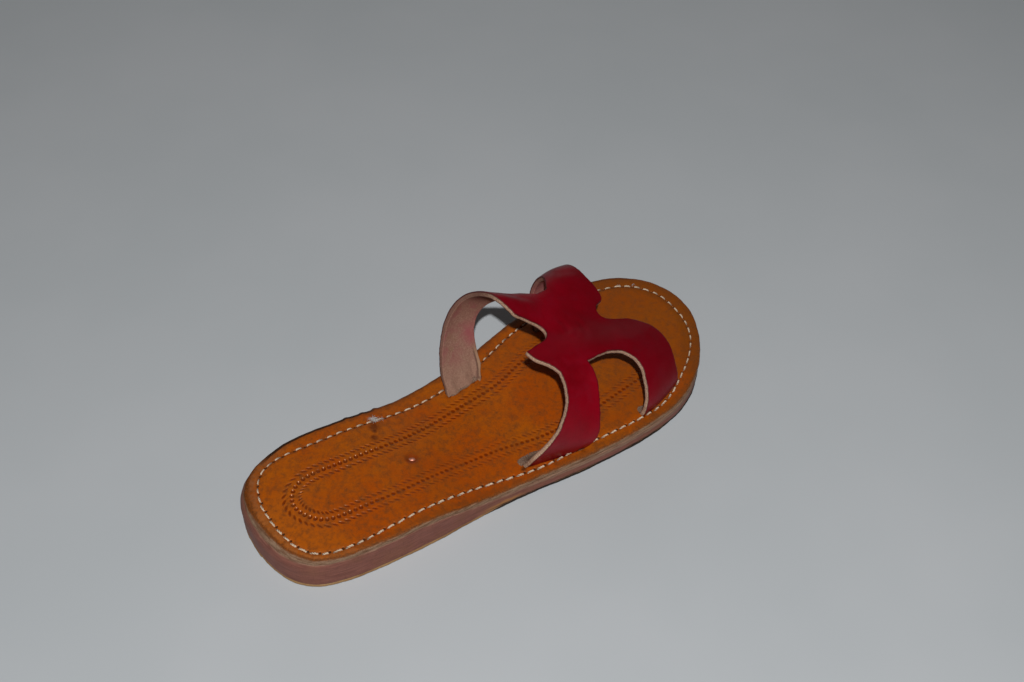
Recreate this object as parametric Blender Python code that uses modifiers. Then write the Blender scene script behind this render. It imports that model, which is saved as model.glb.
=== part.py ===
"""Flat leather slide sandal, right shoe.

Four solids, from the floor up: outsole, midsole, insole and upper. The upper is one piece of
leather cut as an H, bent over the foot, with its four legs let down through slots in the insole.

Tables are in millimetres. X runs across from the line through the middle of the heel and of the
bridge, positive to the outer (lateral) side. Y runs from the back of the heel to the toe, and Z
up from the floor. The whole is then moved so that the middle of the sole's box is at X = Y = 0.
"""

import bmesh
import bpy
import numpy as np

MM = 0.001

# Clearance between pieces that touch on the real sandal.
GAP = 0.3

# Sole outline: a row for each section, from the back of the heel to the toe.
HEEL_END = (-1.0, -1.0)
TOE_END = (-4.0, 250.8)
OUTLINE = [
    # y, medial edge x, lateral edge x
    (9, -32.5, 26.0),
    (31, -39.2, 34.5),
    (63, -35.4, 38.9),
    (100, -34.6, 41.5),
    (138, -37.6, 47.3),
    (173, -44.3, 51.0),
    (208, -45.2, 48.0),
    (235, -36.0, 31.0),
]
SOLE_STATIONS = 46
OUTLINE_SAMPLES = 4000

# Heights of the sole.
HEEL_TOP = 18.8
FOREFOOT_TOP = 11.0
SLOPE_START = 56.0
SLOPE_END = 106.0
TOE_SPRING = 3.5
SPRING_START = 203.0
WAIST_LIFT = 1.2
WAIST = (92.0, 142.0)
OUTSOLE_THICK = 1.5
INSOLE_THICK = 3.2
# The insole's upper edge: how far the rounding runs in and down, and where its middle corner lies.
INSOLE_ROUND = 1.6
INSOLE_ROUND_CORNER = 0.5
SOLE_ROUND = 0.4
# How far the edges of insole and midsole draw in where they meet.
EDGE_STEP = 0.3

# Upper: wall, and how far its legs go down into the insole.
LEATHER = 2.6
LEG_DEPTH = 2.8
# The outer face of the wall, seen along the foot: a row for each section.
ARCH = [
    # y, medial slot x, bulge x z, crest x z, bridge z, shoulder x z, bulge x z, lateral slot x
    (115, -22, -34, 36, -22, 71, 61, 24, 52, 42, 30, 36),
    (133, -23, -38, 41, -25, 68, 57, 26, 50, 43, 30, 39),
    (151, -26, -36, 37, -21, 60, 51, 26, 45, 44, 27, 42),
    (169, -30, -38, 32, -21, 51, 46, 23, 43, 46, 24, 44),
    (190, -32, -41, 30, -28, 48, 40, 24, 38, 46, 22, 43),
    (215, -31, -41, 24, -28, 38, 31, 24, 28, 39, 16, 35),
]
# Edges of the H as (u, y). u runs from -1 at the medial slots through 0 at the bridge line to 1 at the
# lateral slots.
REAR_EDGE = [(-1.0, 116.0), (-0.85, 117.5), (-0.68, 122.5), (-0.52, 129.5), (-0.38, 138.0),
             (-0.25, 145.5), (-0.13, 148.5)]
REAR_BITE = [(-0.13, 148.5), (-0.07, 154.5), (0.0, 158.5), (0.06, 156.0), (0.09, 149.5),
             (0.12, 141.0)]
REAR_EDGE_LATERAL = [(0.12, 141.0), (0.20, 142.5), (0.285, 147.5), (0.37, 149.0), (0.50, 146.0),
                     (0.65, 137.0), (0.78, 126.5), (0.88, 120.5), (1.0, 118.5)]
CUT_REAR = [(-1.0, 138.0), (-0.78, 140.5), (-0.6, 145.0), (-0.45, 152.0), (-0.33, 163.0),
            (-0.28, 169.0)]
CUT_REAR_LATERAL = [(0.345, 165.5), (0.43, 165.5), (0.51, 164.0), (0.60, 161.7), (0.70, 158.5),
                    (0.80, 156.3), (1.0, 156.0)]
CUT_FRONT = [(-1.0, 177.0), (-0.8, 179.5), (-0.6, 182.0), (-0.42, 181.5), (-0.29, 175.5)]
CUT_FRONT_LATERAL = [(0.325, 179.5), (0.36, 184.0), (0.42, 187.4), (0.52, 189.0), (0.62, 188.4),
                     (0.74, 186.0), (0.86, 184.0), (1.0, 183.5)]
FRONT_EDGE = [(-1.0, 198.0), (-0.85, 199.0), (-0.65, 199.8), (-0.45, 200.2), (-0.30, 200.9),
              (-0.12, 202.5)]
FRONT_BITE = [(-0.12, 202.5), (-0.09, 197.0), (-0.05, 193.6), (0.0, 192.8), (0.06, 194.3), (0.10, 199.5),
              (0.105, 205.5)]
FRONT_EDGE_LATERAL = [(0.105, 205.5), (0.17, 209.8), (0.28, 213.5), (0.43, 215.0), (0.58, 214.0),
                      (0.75, 210.5), (0.90, 209.0), (1.0, 209.5)]

# name, base colour (linear RGBA), roughness
FINISHES = {
    "outsole": ((0.42, 0.27, 0.11, 1.0), 0.7),
    "midsole": ((0.19, 0.085, 0.068, 1.0), 0.75),
    "insole": ((0.36, 0.095, 0.008, 1.0), 0.45),
    "upper": ((0.19, 0.004, 0.010, 1.0), 0.35),
}


def smoothstep(value, start, end):
    t = np.clip((value - start) / (end - start), 0.0, 1.0)
    return t * t * (3.0 - 2.0 * t)


def spline(knots, values, where, closed=False):
    """Cubic spline through values at rising knots, read at where. Closed: the last value is the first."""
    knots = np.asarray(knots, float)
    values = np.asarray(values, float).reshape(len(knots), -1)
    step = np.diff(knots)
    slope = np.diff(values, axis=0) / step[:, None]
    count = len(knots)
    matrix = np.eye(count)
    right = np.zeros_like(values)
    for i in range(1, count - 1):
        matrix[i, i - 1 : i + 2] = step[i - 1], 2.0 * (step[i - 1] + step[i]), step[i]
        right[i] = 6.0 * (slope[i] - slope[i - 1])
    if closed:
        matrix[0, 0], matrix[0, 1] = 2.0 * (step[-1] + step[0]), step[0]
        matrix[0, -2] = step[-1]
        right[0] = 6.0 * (slope[0] - slope[-1])
        matrix[-1, 0], matrix[-1, -1] = -1.0, 1.0
    bend = np.linalg.solve(matrix, right)
    where = np.atleast_1d(np.asarray(where, float))
    i = np.clip(np.searchsorted(knots, where, side="right") - 1, 0, count - 2)
    h = step[i][:, None]
    a = (knots[i + 1] - where)[:, None] / h
    b = 1.0 - a
    curved = ((a**3 - a) * bend[i] + (b**3 - b) * bend[i + 1]) * h**2 / 6.0
    return a * values[i] + b * values[i + 1] + curved


def chord_knots(points, power=1.0):
    lengths = np.linalg.norm(np.diff(points, axis=0), axis=1) ** power
    return np.concatenate([[0.0], np.cumsum(lengths)])


def outline_sides():
    """Sole outline as (stations, medial x, lateral x), stations closer together at both ends."""
    lateral = [(row[2], row[0]) for row in OUTLINE]
    medial = [(row[1], row[0]) for row in reversed(OUTLINE)]
    loop = np.array([HEEL_END, *lateral, TOE_END, *medial, HEEL_END], float)
    knots = chord_knots(loop)
    fine = spline(knots, loop, np.linspace(0.0, knots[-1], OUTLINE_SAMPLES), closed=True)
    heel = int(np.argmin(fine[:, 1]))
    fine = np.roll(fine[:-1], -heel, axis=0)
    toe = int(np.argmax(fine[:, 1]))
    angle = np.linspace(0.0, np.pi, SOLE_STATIONS + 2)
    y = fine[0, 1] + (fine[toe, 1] - fine[0, 1]) * (1.0 - np.cos(angle)) / 2.0
    lateral_side = fine[: toe + 1]
    medial_side = np.vstack([fine[toe:], fine[:1]])[::-1]
    return (
        y,
        np.interp(y, medial_side[:, 1], medial_side[:, 0]),
        np.interp(y, lateral_side[:, 1], lateral_side[:, 0]),
    )


STATION_Y, MEDIAL_X, LATERAL_X = outline_sides()
# Counter-clockwise ring: heel end, lateral side, toe end, medial side.
RING = np.vstack([
    np.column_stack([LATERAL_X, STATION_Y]),
    np.column_stack([MEDIAL_X, STATION_Y])[-2:0:-1],
])
CENTRE = (RING.min(axis=0) + RING.max(axis=0)) / 2.0


def ring_normals():
    along = np.roll(RING, -1, axis=0) - np.roll(RING, 1, axis=0)
    along /= np.linalg.norm(along, axis=1)[:, None]
    return np.column_stack([along[:, 1], -along[:, 0]])


RING_NORMAL = ring_normals()


def toe_rise(y):
    return TOE_SPRING * (np.clip(y - SPRING_START, 0.0, None) / (TOE_END[1] - SPRING_START)) ** 2


def sole_bottom(y):
    middle = (WAIST[0] + WAIST[1]) / 2.0
    arch = smoothstep(y, WAIST[0], middle) * (1.0 - smoothstep(y, middle, WAIST[1]))
    return WAIST_LIFT * arch + toe_rise(y)


def sole_top(y):
    return HEEL_TOP + (FOREFOOT_TOP - HEEL_TOP) * smoothstep(y, SLOPE_START, SLOPE_END) + toe_rise(y)


def outsole_top(y):
    return sole_bottom(y) + OUTSOLE_THICK


def midsole_bottom(y):
    return outsole_top(y) + GAP


def insole_bottom(y):
    return sole_top(y) - INSOLE_THICK


def midsole_top(y):
    return insole_bottom(y) - GAP


def sole_ring(inset, height):
    """The outline moved in by inset, at the height given along y."""
    flat = RING - RING_NORMAL * inset
    return np.column_stack([flat, height(flat[:, 1])])


def finish_mesh(name, points, faces, smooth_angle=40.0):
    mesh = bpy.data.meshes.new(name)
    moved = (np.asarray(points) - [CENTRE[0], CENTRE[1], 0.0]) * MM
    mesh.from_pydata(moved.tolist(), [], faces)
    shape = bmesh.new()
    shape.from_mesh(mesh)
    bmesh.ops.recalc_face_normals(shape, faces=shape.faces)
    shape.to_mesh(mesh)
    shape.free()
    mesh.shade_smooth()
    mesh.set_sharp_from_angle(angle=np.radians(smooth_angle))
    return mesh


def add_object(name, mesh, collection):
    obj = bpy.data.objects.new(name, mesh)
    collection.objects.link(obj)
    return obj


def material(name):
    colour, roughness = FINISHES[name]
    made = bpy.data.materials.new(name)
    made.use_nodes = True
    shader = made.node_tree.nodes["Principled BSDF"]
    shader.inputs["Base Color"].default_value = colour
    shader.inputs["Roughness"].default_value = roughness
    shader.inputs["Metallic"].default_value = 0.0
    made.diffuse_color = colour
    return made


def loft_sole(name, rings, collection):
    """A solid from rings listed bottom to top, closed by strips that run straight across the foot."""
    count = len(RING)
    half = SOLE_STATIONS + 1
    faces = []
    for level in range(len(rings) - 1):
        low = level * count
        for i in range(count):
            j = (i + 1) % count
            faces.append((low + i, low + j, low + count + j, low + count + i))
    for base in (0, (len(rings) - 1) * count):
        for i in range(half):
            # The two end strips are triangles: their repeated corner drops out.
            corners = dict.fromkeys((i, i + 1, count - i - 1, (count - i) % count))
            faces.append([base + corner for corner in corners])
    mesh = finish_mesh(name, np.vstack(rings), faces)
    obj = add_object(name, mesh, collection)
    mesh.materials.append(material(name))
    return obj


def build_outsole(collection):
    return loft_sole("outsole", [
        sole_ring(SOLE_ROUND, sole_bottom),
        sole_ring(0.0, lambda y: sole_bottom(y) + SOLE_ROUND),
        sole_ring(0.0, outsole_top),
    ], collection)


def build_midsole(collection):
    return loft_sole("midsole", [
        sole_ring(0.0, midsole_bottom),
        sole_ring(0.0, lambda y: (2.0 * midsole_bottom(y) + midsole_top(y)) / 3.0),
        sole_ring(0.0, lambda y: (midsole_bottom(y) + 2.0 * midsole_top(y)) / 3.0),
        sole_ring(EDGE_STEP, midsole_top),
    ], collection)


def build_insole(collection):
    return loft_sole("insole", [
        sole_ring(EDGE_STEP, insole_bottom),
        sole_ring(0.0, lambda y: sole_top(y) - INSOLE_ROUND),
        sole_ring(INSOLE_ROUND_CORNER, lambda y: sole_top(y) - INSOLE_ROUND_CORNER),
        sole_ring(INSOLE_ROUND, sole_top),
    ], collection)


ARCH_TABLE = np.array(ARCH, float)
ARCH_SAMPLES = 400
BRIDGE_KNOT = 3
# Below 1, so that a long stretch between two points of a section doesn't bulge.
ARCH_KNOT_POWER = 0.5


def arch_section(y):
    """(x, z) along the upper's outer face at y, the running length, and the length at the bridge line."""
    slot_m, low_m, low_mz, crest, crest_z, bridge_z, high, high_z, low_l, low_lz, slot_l = spline(
        ARCH_TABLE[:, 0], ARCH_TABLE[:, 1:], y
    )[0]
    foot = float(sole_top(y)) - LEG_DEPTH
    points = np.array([
        (slot_m, foot),
        (low_m, low_mz),
        (crest, crest_z),
        (0.0, bridge_z),
        (high, high_z),
        (low_l, low_lz),
        (slot_l, foot),
    ])
    knots = chord_knots(points, ARCH_KNOT_POWER)
    where = np.linspace(0.0, knots[-1], ARCH_SAMPLES)
    fine = spline(knots, points, where)
    length = chord_knots(fine)
    bridge = np.interp(knots[BRIDGE_KNOT], where, length)
    return fine, length, bridge


def arch_point(u, y):
    fine, length, bridge = arch_section(y)
    run = bridge + u * (bridge if u < 0.0 else length[-1] - bridge)
    return np.array([np.interp(run, length, fine[:, 0]), y, np.interp(run, length, fine[:, 1])])


# Roughly how many millimetres one unit of u is, for spacing points evenly along an edge.
U_LENGTH = 75.0
EDGE_SAMPLES = 400


def edge_points(rows, count):
    """count + 1 points (u, y), evenly spaced along the smooth edge through the rows."""
    scaled = np.array(rows, float) * [U_LENGTH, 1.0]
    knots = chord_knots(scaled)
    fine = spline(knots, scaled, np.linspace(0.0, knots[-1], EDGE_SAMPLES))
    length = chord_knots(fine)
    even = np.linspace(0.0, length[-1], count + 1)
    return np.column_stack([np.interp(even, length, fine[:, k]) for k in (0, 1)]) / [U_LENGTH, 1.0]


def joined(*stretches):
    """Edge stretches end to end, each given as (rows, number of columns)."""
    points = [edge_points(*stretches[0])]
    for stretch in stretches[1:]:
        points.append(edge_points(*stretch)[1:])
    return np.vstack(points)


SLOT_CLEARANCE = 0.35
SLOT_OVERRUN = 2.5
SLOT_COLUMNS = 13
# How much of u, from the end of a leg, lies in the slot or close above it.
SLOT_REACH = 0.06
SLOTS = [
    # name, side (-1 medial, 1 lateral), rear and front edge of the leg in it
    ("slot_rear_medial", -1, REAR_EDGE, CUT_REAR),
    ("slot_front_medial", -1, CUT_FRONT, FRONT_EDGE),
    ("slot_rear_lateral", 1, REAR_EDGE_LATERAL, CUT_REAR_LATERAL),
    ("slot_front_lateral", 1, CUT_FRONT_LATERAL, FRONT_EDGE_LATERAL),
]


def leg_end(rows):
    """All y of an edge near the end of its leg."""
    fine = edge_points(rows, EDGE_SAMPLES)
    return fine[np.abs(fine[:, 0]) > 1.0 - SLOT_REACH][:, 1]


# Columns of the grid across the H: medial leg, bridge to bite, bite, bite to leg, lateral leg.
LEG_COLUMNS = 22
BITE_COLUMNS = 10
BRIDGE_COLUMNS = 5
BAND_ROWS = 7
BRIDGE_ROWS = 4
# Rows of an edge nearer than this to a new point on it are dropped, so that the edge stays smooth.
SPLIT_MARGIN = 0.03


def split_edge(rows, u):
    """The rows of an edge up to u and from u on, with the point at u in both."""
    fine = edge_points(rows, EDGE_SAMPLES)
    here = (u, float(np.interp(u, fine[:, 0], fine[:, 1])))
    before = [row for row in rows if row[0] < u - SPLIT_MARGIN]
    after = [row for row in rows if row[0] > u + SPLIT_MARGIN]
    return before + [here], [here] + after


def upper_grid():
    """Rows of (u, y) points over the H, rear edge first. Between the bands only the bridge is leather."""
    corner_m, corner_l = CUT_REAR[-1][0], CUT_REAR_LATERAL[0][0]
    rear_leg_m, rear_bridge_m = split_edge(REAR_EDGE, corner_m)
    rear_bridge_l, rear_leg_l = split_edge(REAR_EDGE_LATERAL, corner_l)
    front_leg_m, front_bridge_m = split_edge(FRONT_EDGE, corner_m)
    front_bridge_l, front_leg_l = split_edge(FRONT_EDGE_LATERAL, corner_l)
    legs, bridge, bite = LEG_COLUMNS, BRIDGE_COLUMNS, BITE_COLUMNS
    rear = joined(
        (rear_leg_m, legs), (rear_bridge_m, bridge), (REAR_BITE, bite), (rear_bridge_l, bridge),
        (rear_leg_l, legs),
    )
    front = joined(
        (front_leg_m, legs), (front_bridge_m, bridge), (FRONT_BITE, bite), (front_bridge_l, bridge),
        (front_leg_l, legs),
    )
    across = bridge * 2 + bite
    middle_rear = [CUT_REAR[-1], CUT_REAR_LATERAL[0]]
    middle_front = [CUT_FRONT[-1], CUT_FRONT_LATERAL[0]]
    cut_rear = joined((CUT_REAR, legs), (middle_rear, across), (CUT_REAR_LATERAL, legs))
    cut_front = joined((CUT_FRONT, legs), (middle_front, across), (CUT_FRONT_LATERAL, legs))
    rows = [rear + (cut_rear - rear) * k / BAND_ROWS for k in range(BAND_ROWS + 1)]
    rows += [cut_rear + (cut_front - cut_rear) * k / BRIDGE_ROWS for k in range(1, BRIDGE_ROWS)]
    rows += [cut_front + (front - cut_front) * k / BAND_ROWS for k in range(BAND_ROWS + 1)]
    return rows


def build_upper(collection):
    rows = upper_grid()
    columns = len(rows[0])
    bridge = range(BAND_ROWS, BAND_ROWS + BRIDGE_ROWS)
    points = [arch_point(u, y) for row in rows for u, y in row]
    faces = []
    for r in range(len(rows) - 1):
        for c in range(columns - 1):
            if r in bridge and not LEG_COLUMNS <= c < columns - 1 - LEG_COLUMNS:
                continue
            low = r * columns + c
            faces.append((low, low + 1, low + columns + 1, low + columns))
    used = sorted({i for face in faces for i in face})
    number = {old: new for new, old in enumerate(used)}
    mesh = finish_mesh("upper", [points[i] for i in used], [tuple(number[i] for i in f) for f in faces])
    obj = add_object("upper", mesh, collection)
    mesh.materials.append(material("upper"))
    top = max(mesh.polygons, key=lambda face: face.center.z)
    wall = obj.modifiers.new("wall", "SOLIDIFY")
    wall.thickness = LEATHER * MM
    wall.offset = -1.0 if top.normal.z > 0.0 else 1.0
    wall.use_even_offset = True
    return obj


def slot_cutter(name, side, rear, front, cutters):
    """A curved slab along the leg's wall where it passes the insole, wider than the leg all round."""
    start = leg_end(rear).min() - SLOT_CLEARANCE
    end = leg_end(front).max() + SLOT_CLEARANCE
    stations = np.linspace(start, end, SLOT_COLUMNS)
    points = []
    for y in stations:
        fine, length, _ = arch_section(y)
        runs = [0.0, LEG_DEPTH / 2.0, LEG_DEPTH, LEG_DEPTH + SLOT_OVERRUN]
        if side > 0:
            runs = [length[-1] - run for run in runs]
        column = [np.array([np.interp(run, length, fine[:, 0]), y, np.interp(run, length, fine[:, 1])])
                  for run in runs]
        below = column[0] + (column[0] - column[1]) / np.linalg.norm(column[0] - column[1]) * SLOT_OVERRUN
        points += [below, *column]
    rows = len(runs) + 1
    faces = [(c * rows + r, c * rows + r + 1, (c + 1) * rows + r + 1, (c + 1) * rows + r)
             for c in range(SLOT_COLUMNS - 1) for r in range(rows - 1)]
    mesh = finish_mesh(name, points, faces)
    obj = add_object(name, mesh, cutters)
    outward = side * mesh.polygons[0].normal.x > 0.0
    wall = obj.modifiers.new("wall", "SOLIDIFY")
    full = LEATHER + 2.0 * SLOT_CLEARANCE
    wall.thickness = full * MM
    outer_share = 1.0 - 2.0 * (LEATHER + SLOT_CLEARANCE) / full
    wall.offset = outer_share if outward else -outer_share
    wall.use_even_offset = True
    obj.hide_render = True
    obj.display_type = "WIRE"
    return obj


def cut_slots(insole, cutters):
    for name, side, rear, front in SLOTS:
        cut = insole.modifiers.new(name, "BOOLEAN")
        cut.operation = "DIFFERENCE"
        cut.object = slot_cutter(name, side, rear, front, cutters)


def remove_everything():
    for obj in list(bpy.data.objects):
        bpy.data.objects.remove(obj, do_unlink=True)


def main():
    remove_everything()
    sandal = bpy.data.collections.new("sandal")
    bpy.context.scene.collection.children.link(sandal)
    build_outsole(sandal)
    build_midsole(sandal)
    insole = build_insole(sandal)
    cutters = bpy.data.collections.new("cutters")
    bpy.context.scene.collection.children.link(cutters)
    cut_slots(insole, cutters)
    build_upper(sandal)


main()
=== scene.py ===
"""Look of the flat leather slide sandal, a right shoe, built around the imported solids.

Tables are in millimetres, in the same frame as the solids' tables: X across from the heel's middle
line, positive to the outer side, Y from the back of the heel to the toe, Z up from the floor.
"""

import math

import bpy
import numpy as np
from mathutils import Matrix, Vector, geometry, kdtree, noise


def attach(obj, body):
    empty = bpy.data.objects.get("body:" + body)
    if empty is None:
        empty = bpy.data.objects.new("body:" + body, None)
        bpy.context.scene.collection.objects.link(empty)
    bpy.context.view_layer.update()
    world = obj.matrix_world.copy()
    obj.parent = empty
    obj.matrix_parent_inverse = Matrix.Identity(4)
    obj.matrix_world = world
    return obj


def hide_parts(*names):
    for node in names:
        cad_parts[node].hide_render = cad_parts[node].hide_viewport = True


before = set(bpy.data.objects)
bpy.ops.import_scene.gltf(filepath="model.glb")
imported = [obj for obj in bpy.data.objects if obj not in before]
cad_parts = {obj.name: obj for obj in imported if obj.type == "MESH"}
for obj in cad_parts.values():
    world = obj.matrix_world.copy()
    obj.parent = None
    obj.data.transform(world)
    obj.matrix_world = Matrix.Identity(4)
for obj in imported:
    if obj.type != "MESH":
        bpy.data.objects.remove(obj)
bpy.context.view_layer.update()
MM = 0.001
SEED = 7

# ---- sizes

HEEL_END = (-1.0, -1.0)
TOE_END = (-4, 250.8)
OUTLINE = [
    # y, medial edge x, lateral edge x
    (9, -32.5, 26),
    (31, -39.2, 34.5),
    (63, -35.4, 38.9),
    (100, -34.6, 41.5),
    (138, -37.6, 47.3),
    (173, -44.3, 51),
    (208, -45.2, 48),
    (235, -36, 31),
]
HEEL_TOP = 18.8
FOREFOOT_TOP = 11.0
# Where the top of the sole slopes from the heel down to the forefoot, and how far the toe springs up.
SLOPE = (56.0, 106.0)
TOE_SPRING = 3.5
SPRING_START = 203.0
WAIST_LIFT = 0.3
WAIST = (92.0, 142.0)
OUTSOLE_THICK = 1.5
INSOLE_THICK = 3.2
LEATHER = 2.6
LEG_DEPTH = 2.8
ARCH = [
    # y, medial slot x, bulge x z, crest x z, bridge z, shoulder x z, bulge x z, lateral slot x
    (115, -22, -34, 36, -22, 71, 61, 24, 52, 42, 30, 33.6),
    (133, -23, -38, 41, -25, 68, 57, 26, 50, 43, 30, 39.6),
    (151, -26, -36, 37, -21, 60, 51, 26, 45, 46, 18.5, 43.2),
    (169, -30, -38, 32, -21, 51, 46, 23, 43, 46, 24, 44.4),
    (190, -32, -41, 30, -28, 48, 40, 24, 38, 46.4, 21, 44),
    (215, -31, -41, 24, -28, 38, 31, 24, 28, 39.5, 16, 36),
]
# The upper's cut edges as (u, y). u runs over the arch, from -1 at the inner slots to 1 at the outer ones.
REAR_EDGE = [(-1, 116), (-0.85, 117.5), (-0.68, 122.5), (-0.52, 129.5), (-0.38, 138),
             (-0.25, 145.5), (-0.13, 148.5)]
REAR_BITE = [(-0.13, 148.5), (-0.07, 154.5), (0, 158.5), (0.06, 156), (0.09, 149.5),
             (0.12, 141)]
REAR_EDGE_LATERAL = [(0.12, 141), (0.20, 142.5), (0.285, 147.5), (0.37, 149), (0.50, 146),
                     (0.65, 137), (0.78, 126.3), (0.88, 120.9), (0.95, 119.9), (1, 119)]
CUT_REAR = [(-1, 134.2), (-0.975, 136), (-0.94, 137.8), (-0.78, 140.5), (-0.6, 145), (-0.45, 152),
            (-0.33, 163), (-0.28, 169)]
CUT_REAR_LATERAL = [(0.345, 165.5), (0.43, 165.5), (0.51, 164), (0.60, 161.7), (0.70, 158.9),
                    (0.80, 156.6), (0.87, 154.2), (0.92, 151), (0.97, 147.4), (1, 145)]
CUT_FRONT = [(-1, 177), (-0.8, 179.5), (-0.6, 182), (-0.42, 181.5), (-0.29, 175.5)]
CUT_FRONT_LATERAL = [(0.34, 177.6), (0.37, 183.6), (0.43, 188.2), (0.52, 190.3), (0.62, 189.2),
                     (0.74, 186.2), (0.86, 184), (1, 183.5)]
FRONT_EDGE = [(-1, 198), (-0.85, 199), (-0.65, 199.8), (-0.45, 200.2), (-0.30, 200.8),
              (-0.18, 201.6), (-0.13, 201.4)]
FRONT_BITE = [(-0.13, 201.4), (-0.103, 200.6), (-0.083, 198.9), (-0.068, 196), (-0.035, 193.3),
              (0.01, 192.5), (0.06, 194.6), (0.09, 199.8), (0.115, 205.8)]
FRONT_EDGE_LATERAL = [(0.115, 205.8), (0.18, 210.6), (0.28, 214.2), (0.43, 215.8), (0.58, 214.6),
                      (0.75, 211), (0.90, 209.2), (1, 209.5)]

# Middle line of the tooled pattern, from the inner forefoot round the heel to the outer forefoot.
TOOL_LINE = [(-21, 203), (-21, 186), (-20, 168), (-17, 154), (-13.5, 140), (-12.5, 122), (-11.3, 98),
             (-9.9, 80), (-10.5, 63), (-13, 46), (-14.8, 35), (-12.8, 25.5), (-7, 20.5), (-1.5, 19.8),
             (5, 22), (10.4, 26.5), (13.4, 35), (15.4, 48), (17.4, 62), (17.2, 80), (18, 100),
             (21, 118), (25.3, 133), (27.5, 150), (28, 168), (27, 186), (26, 203)]
# The edge stitches, counter-clockwise from the back of the heel.
STITCH_LINE = [(1, 7.4), (12, 8.6), (22.3, 12.6), (28.3, 22.5), (30.6, 36), (31.4, 50), (32, 68),
               (32.6, 86), (34.6, 101), (38.4, 115), (41.1, 128), (42.2, 141), (43.6, 157), (45.3, 172),
               (46.3, 186), (45.2, 199), (41.4, 208), (36.6, 217.5), (30.8, 227), (23.4, 235.2),
               (13.5, 241.1), (2, 243.7), (-10, 243.8), (-21, 239.6), (-28.3, 233.3), (-33.2, 224),
               (-36.6, 212), (-38.2, 198), (-38.3, 183), (-36.6, 167), (-33.5, 155), (-30.3, 144),
               (-27.4, 130), (-25.8, 113), (-25.6, 95), (-26.2, 78), (-28, 58), (-30.2, 43),
               (-31.8, 29), (-30.3, 19.7), (-25, 13.3), (-15, 8.9), (-6, 7.6)]


# ---- curves

def smoothstep(value, start, end):
    t = np.clip((value - start) / (end - start), 0.0, 1.0)
    return t * t * (3.0 - 2.0 * t)


def spline(knots, values, where, closed=False):
    """Cubic spline through values at rising knots, read at where. Closed: the last value is the first."""
    count = len(knots)
    values = np.asarray(values, float).reshape(count, -1)
    step = np.diff(knots)
    slope = np.diff(values, axis=0) / step[:, None]
    matrix, right = np.eye(count), np.zeros_like(values)
    for i in range(1, count - 1):
        matrix[i, i - 1 : i + 2] = step[i - 1], 2.0 * (step[i - 1] + step[i]), step[i]
        right[i] = 6.0 * (slope[i] - slope[i - 1])
    if closed:
        matrix[0, [0, 1, -2]] = 2.0 * (step[-1] + step[0]), step[0], step[-1]
        right[0] = 6.0 * (slope[0] - slope[-1])
        matrix[-1, 0], matrix[-1, -1] = -1.0, 1.0
    bend = np.linalg.solve(matrix, right)
    where = np.atleast_1d(where)
    i = np.clip(np.searchsorted(knots, where, side="right") - 1, 0, count - 2)
    h = step[i][:, None]
    a = (knots[i + 1] - where)[:, None] / h
    b = 1.0 - a
    return a * values[i] + b * values[i + 1] + ((a**3 - a) * bend[i] + (b**3 - b) * bend[i + 1]) * h**2 / 6.0


def chord_knots(points, power=1.0):
    lengths = np.linalg.norm(np.diff(points, axis=0), axis=1) ** power
    return np.concatenate([[0.0], np.cumsum(lengths)])


def read_evenly(points, samples, closed=False, step=None, count=None):
    """The smooth curve through the points, read at count + 1 even places, or about step apart."""
    knots = chord_knots(points)
    fine = spline(knots, points, np.linspace(0.0, knots[-1], samples), closed)
    length = chord_knots(fine)
    even = np.linspace(0.0, length[-1], (count or int(round(length[-1] / step))) + 1)
    return np.column_stack([np.interp(even, length, fine[:, k]) for k in (0, 1)])


CURVE_SAMPLES = 6000
EDGE_SAMPLES = 400


def even_curve(points, step, closed=False):
    """The smooth curve through the points, read at even steps. Closed: no repeated last point."""
    points = np.array(points, float)
    if closed:
        return read_evenly(np.vstack([points, points[:1]]), CURVE_SAMPLES, closed, step)[:-1]
    return read_evenly(points, CURVE_SAMPLES, closed, step)


def unit(vectors):
    return vectors / np.linalg.norm(vectors, axis=-1, keepdims=True)


def circle(count):
    turn = np.arange(count) * 2.0 * np.pi / count
    return np.column_stack([np.cos(turn), np.sin(turn)])


def left_normals(points, closed=False):
    """Unit normals to the left of the way along the curve."""
    if closed:
        along = np.roll(points, -1, axis=0) - np.roll(points, 1, axis=0)
    else:
        along = np.gradient(points, axis=0)
    return unit(np.column_stack([-along[:, 1], along[:, 0]]))


def ripple(where, waves, seed):
    """A smooth random line: the sum of (wavelength, height) waves with seeded phases."""
    phases = np.random.default_rng(seed).uniform(0.0, 2.0 * np.pi, len(waves))
    return sum(h * np.sin(2.0 * np.pi * where / w + p) for (w, h), p in zip(waves, phases))


def toe_rise(y):
    return TOE_SPRING * (np.clip(y - SPRING_START, 0.0, None) / (TOE_END[1] - SPRING_START)) ** 2


def sole_bottom(y):
    middle = (WAIST[0] + WAIST[1]) / 2.0
    arch = smoothstep(y, WAIST[0], middle) * (1.0 - smoothstep(y, middle, WAIST[1]))
    return WAIST_LIFT * arch + toe_rise(y)


def sole_top(y):
    return HEEL_TOP + (FOREFOOT_TOP - HEEL_TOP) * smoothstep(y, *SLOPE) + toe_rise(y)


def inside(points, polygon):
    """Which of the points lie inside the closed polygon."""
    x, y = points[:, 0], points[:, 1]
    found = np.zeros(len(points), bool)
    for (x0, y0), (x1, y1) in zip(polygon, np.roll(polygon, -1, axis=0)):
        if y0 == y1:
            continue
        crosses = (y0 > y) != (y1 > y)
        found ^= crosses & (x < (x1 - x0) * (y - y0) / (y1 - y0) + x0)
    return found


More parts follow.
